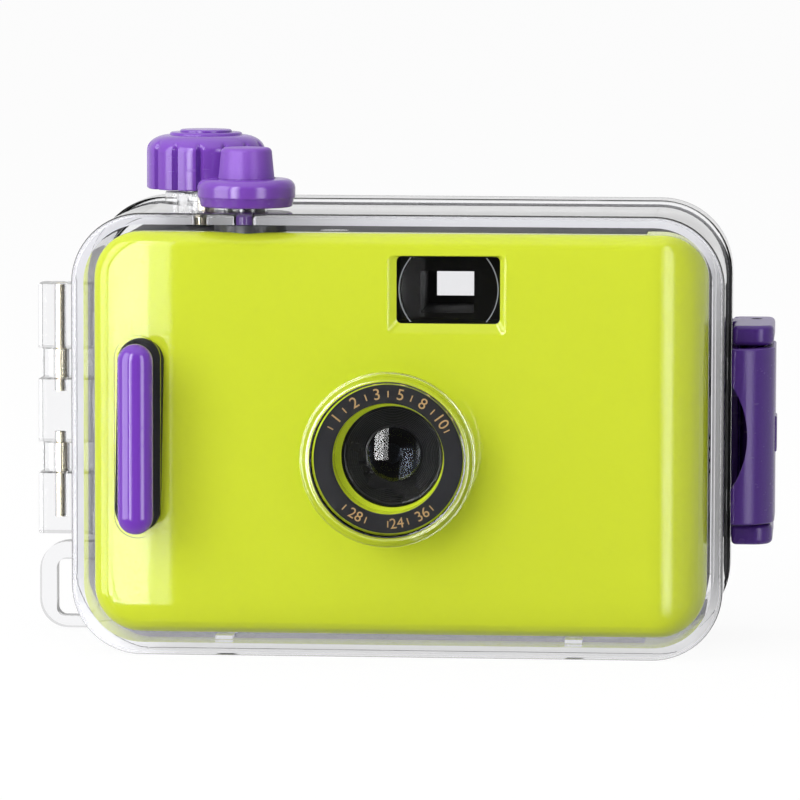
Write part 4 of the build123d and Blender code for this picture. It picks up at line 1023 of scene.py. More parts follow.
@dataclass
class ClearCase:
    """Clear front shell and back lid, with the window, the seal and the hinge."""

    side: float = 55.5
    height: float = 75.5
    corner: float = 12.0
    wall: float = 2.0
    rim: float = 17.0
    rim_face: float = 0.3
    rim_gap: float = 0.03
    rim_inset: float = 0.05
    seal_low: Point = (-54.9, 17.06, 0.6)
    seal_high: Point = (56.0, 18.44, 74.9)
    seal_corner: float = 12.3
    seal_width: float = 1.3
    port: Point = (-1.35, 0.0, 34.0)
    port_bead: tuple[float, float] = (13.5, 14.9)
    port_bead_front: float = -19.3
    port_bead_back: float = -17.9
    port_bead_round: float = 0.48
    neck: Point = (-35.55, 12.5, 0.0)
    neck_ring: tuple[float, float] = (3.6, 7.1)
    neck_ring_low: float = 75.45
    neck_ring_high: float = 77.6
    neck_ring_round: float = 0.35
    behind_rim: tuple[Point, Point] = ((-60.0, 16.9, 60.0), (0.0, 40.0, 90.0))
    corner_facets: int = 14

    def build(self) -> None:
        """Dresses the case's own nodes and adds its rim face, seal, neck ring and port bead."""
        dress(CASE_CLEAR, "front_shell", "back_lid")
        dress(PORT_CLEAR, "port_window")
        dress(PIN_STEEL, "hinge_pin_upper", "hinge_pin_lower")
        self._rim_face()
        self._seal()
        self._neck_ring()
        self._port_bead()

    def _outline(self, inset: float, low: float, high: float) -> Workpiece:
        """Makes a slab with the case's outline.

        Args:
            inset: How far inside the outline it stays.
            low: Its front.
            high: Its back.

        Returns:
            The slab.
        """
        return Workpiece().slab(
            (inset - self.side, low, inset), (self.side - inset, high, self.height - inset),
            self.corner - inset, self.corner_facets,
        )

    def _rim_face(self) -> None:
        """Lays the matt face in which the shell's wall ends against the seal; its pale colour and glow are
        painted light for the light that comes through the wall.
        """
        front, back = self.rim - self.rim_face, self.rim - self.rim_gap
        ring = self._outline(self.rim_inset, front, back)
        ring.cut(self._outline(self.wall - self.rim_inset, front - 1.0, back + 1.0))
        ring.finish("shell_rim_face", Body.HOUSING, "clear_shell", RIM_PAINTED_GLOW)

    def _seal(self) -> None:
        """Models the black seal, which shows past the shell at the right and at the top right."""
        low, high, width = Vector(self.seal_low), Vector(self.seal_high), self.seal_width
        across = Vector((width, -1.0, width))
        seal = Workpiece().slab(low, high, self.seal_corner, self.corner_facets)
        seal.cut(Workpiece().slab(low + across, high - across, self.seal_corner - width, self.corner_facets))
        seal.finish("lid_seal_moulded", Body.LID, "gasket_black", RUBBER, "lid_gasket")

    def _neck_ring(self) -> None:
        """Turns the clear collar round the winder's neck, flat where the lid closes behind it."""
        ring = Workpiece().tube(self.neck_ring, self.neck_ring_low, self.neck_ring_high, self.neck)
        ring.soften(self.neck_ring_round, 3, level("z", self.neck_ring_high))
        ring.cut(Workpiece().block(*self.behind_rim))
        ring.finish("winder_neck_ring", Body.HOUSING, "clear_shell", CASE_CLEAR)

    def _port_bead(self) -> None:
        """Turns the rounded bead along the port's outer edge."""
        front, back = self.port_bead_front, self.port_bead_back
        bead = Workpiece().tube(self.port_bead, front, back, self.port, Axis.LENS, FINE)
        bead.soften(self.port_bead_round, 6, level("y", front))
        bead.finish("port_rim_bead", Body.HOUSING, "clear_shell", PORT_BEAD, sharp=50.0)


@dataclass
class GripBar:
    """Purple finger bar on the front of the case."""

    low: Point = (-47.4, -20.4, 20.75)
    high: Point = (-41.35, -17.9, 53.3)
    dome: float = 2.3
    levels: int = 10
    flat_top: float = 0.985
    end_facets: int = 14

    def build(self) -> None:
        """Models the bar as a rounded stadium with a domed front."""
        half = (self.high[0] - self.low[0]) / 2
        bar = Workpiece().slab(self.low, self.high, half - ON_LINE, self.end_facets)
        for number in range(self.levels):
            rise = math.sin(math.pi / 2 * number / self.levels)
            bar.slice((0.0, self.low[1] + self.dome * (1.0 - rise), 0.0), (0, 1, 0))
        bar.shift(self._draw_in)
        bar.finish(
            "grip_bar_domed", Body.HOUSING, "grip_purple", GRIP_PURPLE, "grip_bar", sharp=60.0, weigh=False,
        )

    def _draw_in(self, spot: Vector) -> Vector:
        """Draws a point of the straight bar in to give the dome.

        Args:
            spot: The point.

        Returns:
            How far it moves.
        """
        low, high = Vector(self.low), Vector(self.high)
        half = (high.x - low.x) / 2
        rise = self.flat_top * max(0.0, 1.0 - (spot.y - low.y) / self.dome)
        share = 1.0 - math.sqrt(1.0 - rise**2)
        spine = Vector((low.x + half, spot.y, min(max(spot.z, low.z + half), high.z - half)))
        return (spine - spot) * share


@dataclass
class ShutterControl:
    """Purple collar, base and sprung cap on top of the case.

    Profiles hold radius and height of each corner. A round holds its size, its facets, and the
    radius and height of the corner that it rounds.
    """

    centre: Point = (-26.75, -4.5, 0.0)
    base: Profile = (
        (3.8, 76.0), (7.85, 76.0), (8.14, 77.35), (8.16, 77.55), (3.4, 77.55), (3.4, 76.9), (3.8, 76.9),
    )
    base_rounds: Sequence[tuple[float, int, float, float]] = ((0.25, 3, 7.85, 76.0),)
    collar: Profile = (
        (6.1, 77.55), (8.36, 77.55), (8.4, 77.9), (8.4, 80.75), (6.3, 80.78), (4.95, 80.9),
        (4.95, 80.05), (6.1, 80.05),
    )
    collar_rounds: Sequence[tuple[float, int, float, float]] = (
        (1.6, 12, 8.4, 80.75), (0.18, 3, 4.95, 80.9), (0.07, 2, 8.36, 77.55),
    )
    cap: Profile = (
        (0.0, 86.1), (4.3, 86.1), (4.8, 80.9), (4.8, 80.0), (5.8, 80.0), (5.8, 79.2), (3.4, 79.2),
        (3.4, 83.3), (2.0, 83.3), (2.0, 73.1), (0.0, 73.1),
    )
    cap_rounds: Sequence[tuple[float, int, float, float]] = ((0.75, 6, 4.3, 86.1),)
    spring: Coil = Coil(
        "shutter_coil", "shutter_spring", "shutter_press", (-26.75, -4.5, 0.0), radius=2.65, wire=0.32,
        low=77.25, high=82.9, turns=5, seat=76.9, room=6.35, travel=1.5,
    )

    def build(self) -> None:
        """Turns the base, the collar and the cap, and adds the spring, the seal and the washer."""
        self._turn(self.base, self.base_rounds, 96).finish(
            "shutter_base_ring", Body.HOUSING, "collar_purple", COLLAR_PURPLE, "shutter_base",
        )
        self._turn(self.collar, self.collar_rounds, FINE).finish(
            "shutter_collar_guard", Body.HOUSING, "collar_purple", COLLAR_PURPLE, "shutter_collar",
        )
        self._turn(self.cap, self.cap_rounds, FINE).finish(
            "shutter_cap", Body.BUTTON, "button_purple", BUTTON_PURPLE, "shutter_button",
        )
        self.spring.build()
        dress(RUBBER, "shutter_o_ring")
        dress(SPRING_STEEL, "shutter_washer")

    def _turn(
        self, profile: Profile, rounds: Sequence[tuple[float, int, float, float]], steps: int
    ) -> Workpiece:
        """Turns a profile and rounds its corners.

        Args:
            profile: The profile.
            rounds: The rounds.
            steps: Facets round the axis.

        Returns:
            The turned piece.
        """
        made = Workpiece().turned(profile, self.centre, steps=steps)
        for size, facets, radius, height in rounds:
            made.soften(size, facets, circle(self.centre, radius, height))
        return made


@dataclass
class WinderKnob:
    """Lobed purple knob that turns the film advance."""

    centre: Point = (-35.55, 12.5, 0.0)
    bottom: float = 78.1
    top: float = 87.4
    roof: float = 85.2
    bore: float = 1.5
    hub: float = 3.2
    hollow: float = 8.2
    radius: float = 10.3
    shoulder: float = 2.7
    shoulder_reach: float = 3.9
    shoulder_rings: int = 10
    lobes: int = 14
    groove_depth: float = 1.0
    groove_share: float = 0.3
    groove_fade: float = 0.22
    chamfer: float = 0.15
    first_groove: float = -64.6
    lobe_crown: float = 0.14
    points_per_lobe: int = 14
    ring_radius: float = 6.3
    middle_radius: float = 4.5
    ring_rise: float = 0.45

    def build(self) -> None:
        """Builds the knob and dresses its shaft, seal and clip."""
        self._knob()
        dress(PIN_STEEL, "winder_shaft")
        dress(RUBBER, "winder_o_ring")
        dress(SPRING_STEEL, "winder_clip")

    def _levels(self) -> list[tuple[float, float, float]]:
        """Lists the rings of points from the bore outwards, over the shoulder and in to the middle.

        Returns:
            Radius, height and share of the groove of each ring.
        """
        knee = self.top - self.shoulder
        edge = self.radius
        rings = [
            (self.bore, self.roof, 0.0), (self.bore, self.bottom, 0.0),
            (self.hub, self.bottom, 0.0), (self.hub, self.roof, 0.0),
            (self.hollow, self.roof, 0.0), (self.hollow, self.bottom, 0.0),
            (edge - self.chamfer, self.bottom, 1.0), (edge, self.bottom + 0.2, 1.0),
            (edge, knee - 1.0, 1.0), (edge, knee - 0.3, 0.98),
        ]
        for number in range(self.shoulder_rings + 1):
            turn = math.pi / 2 * number / self.shoulder_rings
            out = edge - self.shoulder_reach * (1 - math.cos(turn))
            groove = max(0.0, 0.97 - self.groove_fade * number)
            rings.append((out, knee + self.shoulder * math.sin(turn), groove))
        ridge, middle = self.ring_radius, self.middle_radius
        step = self.top + self.ring_rise
        lid = step + self.ring_rise
        tops = (
            (ridge + 0.05, self.top), (ridge - 0.05, step - self.chamfer), (ridge - 0.25, step),
            (middle, step), (middle, lid - self.chamfer), (middle - 0.2, lid), (self.bore, lid),
        )
        return rings + [(radius, height, 0.0) for radius, height in tops]

    def _knob(self) -> None:
        """Raises the knob ring by ring from a circle."""
        made = Workpiece()
        x, y, _ = self.centre
        rings = self._levels()
        start = bmesh.ops.create_circle(
            made.bm, cap_ends=True, radius=rings[0][0], segments=self.lobes * self.points_per_lobe,
            matrix=Matrix.Translation((x, y, rings[0][1])),
        )["verts"]
        loop = [edge for edge in made.bm.edges if edge.verts[0] in start]
        for radius, height, share in rings[1:]:
            grown = bmesh.ops.extrude_edge_only(made.bm, edges=loop)["geom"]
            loop = [item for item in grown if isinstance(item, bmesh.types.BMEdge)]
            for vert in (item for item in grown if isinstance(item, bmesh.types.BMVert)):
                angle = math.atan2(vert.co.y - y, vert.co.x - x)
                out = radius - share * self._groove(angle)
                vert.co = (x + out * math.cos(angle), y + out * math.sin(angle), height)
        bmesh.ops.contextual_create(made.bm, geom=loop)
        made.finish("winder_knob_lobed", Body.WINDER, "knob_purple", KNOB_PURPLE, "winder_knob", sharp=40.0)

    def _groove(self, angle: float) -> float:
        """Gives the depth of the grooves, and of the lobes' own roundness.

        Args:
            angle: Angle round the knob, in radians.

        Returns:
            How far the side stands back.
        """
        along = ((angle - math.radians(self.first_groove)) / (FULL_TURN / self.lobes) + 0.5) % 1.0 - 0.5
        reach = abs(along) / (self.groove_share / 2)
        dip = self.groove_depth * (1 + math.cos(math.pi * reach)) / 2 if reach < 1 else 0.0
        return dip + self.lobe_crown * (2 * abs(abs(along) - 0.5)) ** 2


@dataclass
class SideLatch:
    """Purple lever, its bracket and its pin on the right of the case."""

    lever_low: float = 20.7
    lever_high: float = 51.25
    side: float = 63.8
    tip: float = 56.3
    nose: float = 5.6
    nose_depth: float = 3.0
    wall: float = 2.0
    sweep: float = 6.9
    tip_round: float = 0.6
    end_round: float = 1.0
    end_edges: float = 0.35
    pin: Point = (60.3, 24.6, 0.0)
    barrel: tuple[float, float] = (1.05, 2.7)
    bite_radius: float = 16.2
    bite_reach: float = 59.1
    bite_from: float = -20.0
    bite_facets: int = 160
    web_reach: float = 1.2
    web_depth: float = 0.4
    web_wall: float = 0.2
    mark_size: float = 6.2
    mark_rise: float = 0.3
    ear_height: float = 3.5
    ear_gap: float = 0.3
    ear_low: tuple[float, float] = (56.4, 9.0)
    ear_high: tuple[float, float] = (63.5, 30.2)
    ear_rounds: tuple[float, float] = (3.4, 1.6)
    ear_edges: float = 0.85
    plate: tuple[float, float, float, float] = (56.1, 19.0, 57.3, 27.0)
    lip: tuple[float, float, float, float] = (56.3, 27.8, 59.3, 29.2)
    small_round: float = 0.25
    plate_round: float = 0.3

    def build(self) -> None:
        """Builds the lever and its bracket."""
        self._lever()
        self._bracket()
        dress(PIN_STEEL, "latch_pin")

    def _lever(self) -> None:
        """Models the curved lever with its finger bite, its raised square and the pin's barrel."""
        low, high, side, nose = self.lever_low, self.lever_high, self.side, self.nose
        inside, nose_back = side - self.wall, nose + self.wall
        step_x, step_y = side - self.sweep, nose + self.nose_depth
        pin_x, pin_y, _ = self.pin
        corners = (
            (self.tip, nose), (side, nose), (side, pin_y), (inside, pin_y),
            (inside, nose_back), (step_x, nose_back), (step_x, step_y), (self.tip, step_y),
        )
        lever = Workpiece().prism([(x, y, low) for x, y in corners], (0, 0, high - low))
        for radius, facets, x, y in (
            (self.sweep - 0.2, 12, side, nose), (self.sweep - self.wall, 10, inside, nose_back),
            (self.tip_round, 4, self.tip, nose), (self.end_round, 5, side, pin_y),
        ):
            lever.soften(radius, facets, post(x, y))
        middle = (low + high) / 2
        lever.cut(Workpiece().tube(
            (0.0, self.bite_radius), self.bite_from, nose + 2 * self.sweep,
            (self.bite_reach - self.bite_radius, 0.0, middle), Axis.LENS, self.bite_facets,
        ))
        lever.soften(self.end_edges, 3, level("z", low, high), angle=50.0)
        half, rise, foot = self.mark_size / 2, self.mark_rise, nose + self.sweep
        mark = Workpiece().block(
            (side - rise, foot, middle - half), (side + rise, foot + self.mark_size, middle + half),
        )
        barrel = Workpiece().tube(self.barrel, low, high, self.pin, steps=48)
        barrel.soften(self.small_round, 2, circle(self.pin, self.barrel[1], low, high))
        web = Workpiece().block(
            (pin_x + self.web_reach, pin_y - self.barrel[1], low + HAIR),
            (side - self.web_wall, pin_y - self.web_depth, high - HAIR),
        )
        lever.join(mark.soften(self.small_round, 3), barrel, web)
        lever.finish("latch_lever_curved", Body.LATCH, "latch_purple", LATCH_PURPLE, "latch_lever")

    def _ear(self, bottom: float) -> Workpiece:
        """Models one ear, rounded most at its front.

        Args:
            bottom: Height of its lower face.

        Returns:
            The ear.
        """
        ear = Workpiece().block((*self.ear_low, bottom), (*self.ear_high, bottom + self.ear_height))
        outer, middle = self.ear_high[0], bottom + self.ear_height / 2
        for edge, radius in zip((self.ear_low[1], self.ear_high[1]), self.ear_rounds):
            end = Vector((outer, edge, middle))
            ear.soften(radius, 8, lambda spot, end=end: (spot - end).length < 0.1, angle=60.0)
        return ear.soften(self.ear_edges, 4, angle=60.0)

    def _bracket(self) -> None:
        """Models the plate, the lip and the two ears that hold the pin."""
        foot = self.lever_low - self.ear_gap - self.ear_height
        head = self.lever_high + self.ear_gap + self.ear_height
        bracket = Workpiece().join(self._ear(foot), self._ear(head - self.ear_height))
        for left, front, right, back in (self.plate, self.lip):
            bar = Workpiece().block((left, front, foot + HAIR), (right, back, head - HAIR))
            bracket.join(bar.soften(self.plate_round, 2))
        bracket.finish("latch_bracket_ears", Body.LID, "latch_purple", LATCH_PURPLE, "latch_bracket")


@dataclass
class FrontCover:
    """Yellow-green face of the camera, with the lens boss and the viewfinder recess."""

    left: float = -52.9
    right: float = 52.45
    bottom: float = 2.6
    top: float = 71.7
    front: float = -9.0
    back: float = 3.1
    short_back: float = -3.9
    wrap_from: float = 41.9
    wall: float = 1.6
    corner: float = 8.0
    edge_round: float = 2.6
    sweep: float = 10.3
    bow: float = 16.9
    bow_radius: float = 70.0
    bow_cuts: int = 14
    foot: float = 6.5
    foot_depth: float = 0.8
    foot_cuts: int = 6
    recess_depth: float = 0.85
    lip_back: float = -8.12
    lip_cuts: tuple[float, ...] = (0.0, 0.7, 0.8, 0.88, 0.94, 0.98, 1.0)
    slopes: tuple[float, float] = (-1.45, 0.85)
    foot_slope: float = 1.8
    head_slope: float = 0.1
    lip_round: float = 0.3
    lens: Point = (-1.35, 0.0, 34.0)
    boss: tuple[float, float] = (9.35, 12.2)
    boss_front: float = -15.8
    boss_back: float = -8.2
    boss_round: float = 0.4
    floor: tuple[float, float] = (8.7, 9.95)
    floor_front: float = -12.6
    floor_back: float = -12.0
    barrel_axis: Point = (-0.95, 0.0, 34.0)
    finder: Point = (8.25, 0.0, 62.2)
    finder_size: tuple[float, float] = (17.7, 11.5)
    finder_corner: float = 0.9
    tube_room: float = 0.7
    tube_back: float = 6.0
    release: Point = (-26.4, -0.9, 0.0)
    release_radius: float = 6.4
    release_hole: tuple[float, float] = (66.0, 80.0)
    lens_hole: tuple[float, float] = (-30.0, 8.0)
    cut_past: float = 5.0
    pad_low: Point = (-48.6, -9.8, 20.3)
    pad_high: Point = (-40.7, -6.0, 53.6)
    pad_corner: float = 3.93
    pad_round: float = 0.35
    pad_tilt: float = 1.1

    def build(self) -> None:
        """Builds the cover and the pad behind the grip."""
        self._cover()
        self._pad()

    def _blank(self, inset: float) -> Workpiece:
        """Shapes the cover's outer form, or its hollow.

        Args:
            inset: How far inside the outer faces it lies.

        Returns:
            The form as a closed solid.
        """
        front = self.front + inset
        made = Workpiece().slab(
            (self.left + inset, front, self.bottom + inset),
            (self.right - inset, self.back + 3 * inset, self.top - inset),
            self.corner - inset, 12,
        )
        made.soften(self.edge_round - 0.8 * inset, 7, level("y", front), angle=60.0)
        for number in range(self.bow_cuts):
            step = number / self.bow_cuts
            made.slice((self.right - self.sweep * (1.0 - step), 0, 0), (1, 0, 0))
            made.slice((self.left + self.bow * step, 0, 0), (-1, 0, 0))
        for number in range(self.foot_cuts):
            made.slice((0, 0, self.bottom + self.foot * (number + 1) / self.foot_cuts), (0, 0, 1))
        return made.shift(self._contour)

    def _cover(self) -> None:
        """Shapes the shell, cuts its openings and adds the boss."""
        cover = self._blank(0.0)
        past = self.cut_past
        cover.cut(
            self._blank(self.wall),
            Workpiece().block(
                (self.left - past, self.short_back, -past),
                (self.wrap_from, self.back + past, self.top + 2 * past),
            ),
            Workpiece().tube((0.0, self.boss[0]), *self.lens_hole, self.lens, Axis.LENS),
            Workpiece().tube((0.0, self.release_radius), *self.release_hole, self.release),
            self._finder_cutter(),
            self._finder_hole(),
        )
        boss = Workpiece().tube(self.boss, self.boss_back, self.boss_front, self.lens, Axis.LENS, FINE)
        boss.soften(self.boss_round, 4, level("y", self.boss_front))
        floor = Workpiece().tube(
            self.floor, self.floor_front, self.floor_back, self.barrel_axis, Axis.LENS, FINE,
        )
        cover.join(boss, floor)
        cover.finish("front_cover_moulded", Body.HOUSING, "cover_green", COVER_GREEN, "camera_front_cover")

    def _contour(self, spot: Vector) -> Vector:
        """Lets the front give way to its right end, its left end and its foot.

        Args:
            spot: A point of the flat form.

        Returns:
            How far it moves.
        """
        share = (self.back - spot.y) / (self.back - self.front)
        over = max(0.0, spot.x - (self.right - self.sweep))
        fall = self.sweep - math.sqrt(max(0.0, self.sweep**2 - over**2))
        beyond = max(0.0, self.left + self.bow - spot.x)
        bow = self.bow_radius - math.sqrt(self.bow_radius**2 - beyond**2)
        foot = self.foot_depth * (max(0.0, self.bottom + self.foot - spot.z) / self.foot) ** 2
        return Vector((0.0, share * (fall + bow + foot), 0.0))

    def _finder_cutter(self) -> Workpiece:
        """Makes the sloped recess round the viewfinder window, down to its narrow lip.

        Returns:
            The solid that is cut out.
        """
        x, _, z = self.finder
        half_x, half_z = (size / 2 for size in self.finder_size)
        before = self.front - 2 * self.recess_depth
        cutter = Workpiece().slab(
            (x - half_x, before, z - half_z), (x + half_x, self.lip_back, z + half_z),
            self.finder_corner, 5,
        )
        for share in self.lip_cuts:
            cutter.slice((0, self.front + (1.0 - share) * self.recess_depth, 0), (0, 1, 0))
        return cutter.shift(self._flare)

    def _flare(self, spot: Vector) -> Vector:
        """Opens the recess towards the front, most at its foot, with a rounded lip.

        Args:
            spot: A point of the straight recess.

        Returns:
            How far it moves.
        """
        right, upper = spot.x > self.finder[0], spot.z > self.finder[2]
        share = max(0.0, self.front + self.recess_depth - spot.y) / self.recess_depth
        turn = min(1.0, max(0.0, (share - self.lip_cuts[1]) / (1.0 - self.lip_cuts[1])))
        lip = self.lip_round * (1.0 - math.sqrt(1.0 - turn**2)) * (1.0 if right else 0.3)
        side = self.slopes[right]
        rise = self.head_slope if upper else -self.foot_slope
        return Vector((side * share + math.copysign(lip, side), 0.0, rise * share + math.copysign(lip, rise)))

    def _finder_hole(self) -> Workpiece:
        """Makes the straight opening behind the lip, for the viewfinder's tube.

        Returns:
            The solid that is cut out.
        """
        x, _, z = self.finder
        half_x, half_z = (size / 2 + self.tube_room for size in self.finder_size)
        front, back = self.lip_back - ON_LINE, self.tube_back
        return Workpiece().block((x - half_x, front, z - half_z), (x + half_x, back, z + half_z))

    def _pad(self) -> None:
        """Models the black pad that the fingers would press through the case's bar."""
        low, high = Vector(self.pad_low), Vector(self.pad_high)
        pad = Workpiece().slab(low, high, self.pad_corner, 12)
        pad.soften(self.pad_round, 3, level("y", low.y), angle=60.0)
        middle = Matrix.Translation((low + high) / 2)
        tilt = Matrix.Rotation(math.radians(self.pad_tilt), 4, "Y")
        pad.place(middle @ tilt @ middle.inverted())
        pad.finish("finger_pad_rounded", Body.HOUSING, "pad_black", PAD_BLACK, "finger_pad")


@dataclass
class Lens:
    """Label ring, ribbed barrel, glass and blade of the lens.

    Each glass holds its radius, its front and back, and how far the front and back faces bulge.
    """

    centre: Point = (-1.35, 0.0, 34.0)
    barrel_axis: Point = (-0.95, 0.0, 34.0)
    ring: tuple[float, float] = (9.5, 12.7)
    ring_front: float = -16.6
    ring_back: float = -15.8
    ring_round: float = 0.12
    figure_radius: float = 11.1
    upper_figures: Sequence[tuple[str, int]] = (
        ("1", -52), ("2", -31), ("3", -10), ("5", 11), ("8", 32), ("10", 54),
    )
    upper_height: float = 2.7
    lower_figures: Sequence[tuple[str, int]] = (("28", 30), ("24", -8), ("36", -32))
    lower_height: float = 2.5
    ticks: Sequence[int] = (-62, -42, -20, 0, 21, 43, 64, 138, 162, 180, 200, 222)
    tick_width: float = 0.2
    tick_length: float = 1.1
    ink_rise: float = 0.02
    barrel_radius: float = 8.65
    barrel_front: float = -11.2
    barrel_bore: float = 4.0
    barrel_round: float = 0.15
    body_front: float = -7.25
    flange_radius: float = 10.4
    flange_back: float = -6.25
    rib_outer: float = 8.1
    rib_inner: float = 4.8
    rib_back: float = -8.15
    ribs: int = 11
    glass_seat: tuple[float, float] = (4.68, -6.9)
    front_glass: tuple[float, float, float, float, float] = (4.6, -9.3, -6.9, 0.75, 0.25)
    rear_glass: tuple[float, float, float, float, float] = (4.4, -4.7, -2.5, 0.3, 0.6)
    glass_rings: int = 14

    def build(self) -> None:
        """Builds the lens from the front backwards."""
        self._ring()
        self._marks()
        self._barrel()
        self._element("lens_front", self.front_glass, "lens_front_element")
        self._element("lens_rear", self.rear_glass, "lens_rear_element")
        dress(BARREL_BLACK, "aperture_plate")
        dress(DARK_STEEL, "shutter_blade")
        dress(PIN_STEEL, "shutter_blade_pin")

    def _ring(self) -> None:
        """Turns the flat charcoal ring."""
        ring = Workpiece().tube(self.ring, self.ring_front, self.ring_back, self.centre, Axis.LENS, FINE)
        ring.soften(self.ring_round, 2)
        ring.finish("label_ring_turned", Body.HOUSING, "label_black", LABEL_CHARCOAL, "lens_label_ring")

    def _marks(self) -> None:
        """Lays plain gold figures and ticks round the ring."""
        marks = Workpiece()
        x, _, z = self.centre
        front, radius = self.ring_front, self.figure_radius
        upright = Matrix.Rotation(math.pi / 2, 4, "X")
        home = Matrix.Translation((x, front - self.ink_rise / 2, z))
        for figures, height, reach in (
            (self.upper_figures, self.upper_height, radius), (self.lower_figures, self.lower_height, -radius),
        ):
            for text, degrees in figures:
                turn = Matrix.Rotation(math.radians(degrees), 4, "Y")
                out = Matrix.Translation((0.0, 0.0, reach))
                marks.join(lettering(text, height, home @ turn @ out @ upright))
        wide, tall = self.tick_width / 2, self.tick_length / 2
        for degrees in self.ticks:
            tick = Workpiece().block(
                (-wide, front - self.ink_rise, radius - tall), (wide, front + self.ink_rise, radius + tall),
            )
            turn = Matrix.Rotation(math.radians(degrees), 4, "Y")
            marks.join(tick.place(Matrix.Translation((x, 0.0, z)) @ turn))
        marks.finish("label_ring_marks", Body.HOUSING, "label_black", GOLD_INK, weigh=False)

    def _element(self, name: str, glass: tuple[float, float, float, float, float], node: str) -> None:
        """Turns one lens element.

        Args:
            name: The piece's name.
            glass: Its sizes.
            node: The CAD node that it stands for.
        """
        radius, front, back, front_bulge, back_bulge = glass
        shares = [step / self.glass_rings for step in range(self.glass_rings + 1)]
        face = [(radius * share, front + front_bulge * share**2) for share in shares]
        rear = [(radius * share, back - back_bulge * share**2) for share in reversed(shares)]
        element = Workpiece().turned(face + rear, self.barrel_axis, Axis.LENS, FINE)
        element.finish(name, Body.HOUSING, "lens_glass", LENS_GLASS, node, weigh=False)

    def _barrel(self) -> None:
        """Turns the barrel with fine ribs down to the glass."""
        front, back = self.barrel_front, self.rib_back
        seat, seat_back = self.glass_seat
        outline = [
            (self.barrel_bore, self.flange_back), (self.flange_radius, self.flange_back),
            (self.flange_radius, self.body_front), (self.barrel_radius, self.body_front),
            (self.barrel_radius, front), (self.rib_outer + 0.1, front),
        ]
        rise = (back - front) / self.ribs
        run = (self.rib_outer - self.rib_inner) / self.ribs
        for number in range(self.ribs):
            out, deep = self.rib_outer - number * run, front + number * rise
            foot = deep + rise * 1.1
            outline += [(out, deep + 0.1), (out - run * 0.25, foot), (out - run * 0.75, foot)]
        outline += [(seat, back), (seat, seat_back), (self.barrel_bore, seat_back)]
        barrel = Workpiece().turned(outline, self.barrel_axis, Axis.LENS, FINE)
        barrel.soften(self.barrel_round, 2, level("y", front))
        barrel.finish("lens_barrel_ribbed", Body.HOUSING, "barrel_black", BARREL_BLACK, "lens_barrel")


@dataclass
class Viewfinder:
    """Window with its round lens, and the eyepiece behind."""

    centre: Point = (8.25, 0.0, 62.2)
    width: float = 17.4
    height: float = 11.2
    plate_front: float = -7.5
    plate_back: float = -6.1
    dome_radius: float = 8.4
    dome_rise: float = 0.6
    dome_rings: int = 8
    dome_foot: float = 0.3
    dome_trim: float = 0.05
    bead_width: float = 0.16
    bead_rise: float = 0.1
    bead_trim: float = 0.1
    cut_past: float = 12.0
    mask_low: Point = (3.02, 22.0, 57.72)
    mask_high: Point = (11.98, 22.55, 64.68)
    opening_low: Point = (4.4, 20.0, 59.0)
    opening_high: Point = (10.95, 24.0, 63.4)

    def build(self) -> None:
        """Builds the window, its rim and the eyepiece's mask, and dresses the tube and the eyepiece."""
        self._window()
        self._rim()
        mask = Workpiece().block(self.mask_low, self.mask_high)
        mask.cut(Workpiece().block(self.opening_low, self.opening_high))
        mask.finish("eyepiece_mask", Body.HOUSING, "finder_black", FINDER_BLACK)
        dress(FINDER_BLACK, "viewfinder_tube")
        dress(FINDER_CLEAR, "viewfinder_eyepiece")

    def _rim(self) -> None:
        """Turns the fine bead round the window's lens, cut off at the window's edges; its pale grey is a
        painted sheen along the lens edge.
        """
        x, _, z = self.centre
        radius, front = self.dome_radius, self.plate_front
        bead = Workpiece().tube(
            (radius, radius + self.bead_width), front - self.bead_rise, front + self.bead_rise,
            self.centre, Axis.LENS, FINE,
        )
        reach, past = self.height / 2 - self.bead_trim, self.cut_past
        bead.cut(
            Workpiece().block((x - past, -past, z + reach), (x + past, 0.0, z + past)),
            Workpiece().block((x - past, -past, z - past), (x + past, 0.0, z - reach)),
        )
        bead.finish("viewfinder_lens_rim", Body.HOUSING, "finder_clear", LENS_EDGE_SHEEN)

    def _window(self) -> None:
        """Joins a flat plate and the middle of a round dome."""
        x, _, z = self.centre
        half_x, half_z = self.width / 2, self.height / 2
        front, radius, rise = self.plate_front, self.dome_radius, self.dome_rise
        plate = Workpiece().block((x - half_x, front, z - half_z), (x + half_x, self.plate_back, z + half_z))
        curve = (radius**2 + rise**2) / (2 * rise)
        reaches = [radius * step / self.dome_rings for step in range(self.dome_rings + 1)]
        arc = [(reach, front - rise + curve - math.sqrt(curve**2 - reach**2)) for reach in reaches]
        foot = front + self.dome_foot
        dome = Workpiece().turned([*arc, (radius, foot), (0.0, foot)], self.centre, Axis.LENS)
        for side in (-1, 1):
            dome.slice((x, 0, z + side * (half_z - self.dome_trim)), (0, 0, side), remove=True)
        plate.join(dome)
        plate.finish(
            "viewfinder_window_domed", Body.HOUSING, "finder_clear", FINDER_CLEAR, "viewfinder_front_lens",
        )


@dataclass
class CameraBody:
    """Black body, top plate, film door and release of the camera."""

    release_spring: Coil = Coil(
        "release_coil", "release_spring", "release_press", (-25.0, -3.0, 0.0), radius=1.95, wire=0.28,
        low=60.85, high=70.5, turns=7, seat=60.5, room=10.35, travel=1.6,
    )

    def build(self) -> None:
        """Dresses the body's nodes and winds the spring under the release button."""
        dress(BODY_BLACK, "camera_body", "camera_top_plate", "camera_back_door")
        dress(PLAIN_BLACK, "door_latch")
        dress(PIN_STEEL, "door_hinge_pin")
        dress(SCREW_STEEL, "camera_screws")
        dress(CHARCOAL, "release_button")
        self.release_spring.build()
        dress(FINDER_CLEAR, "counter_window")


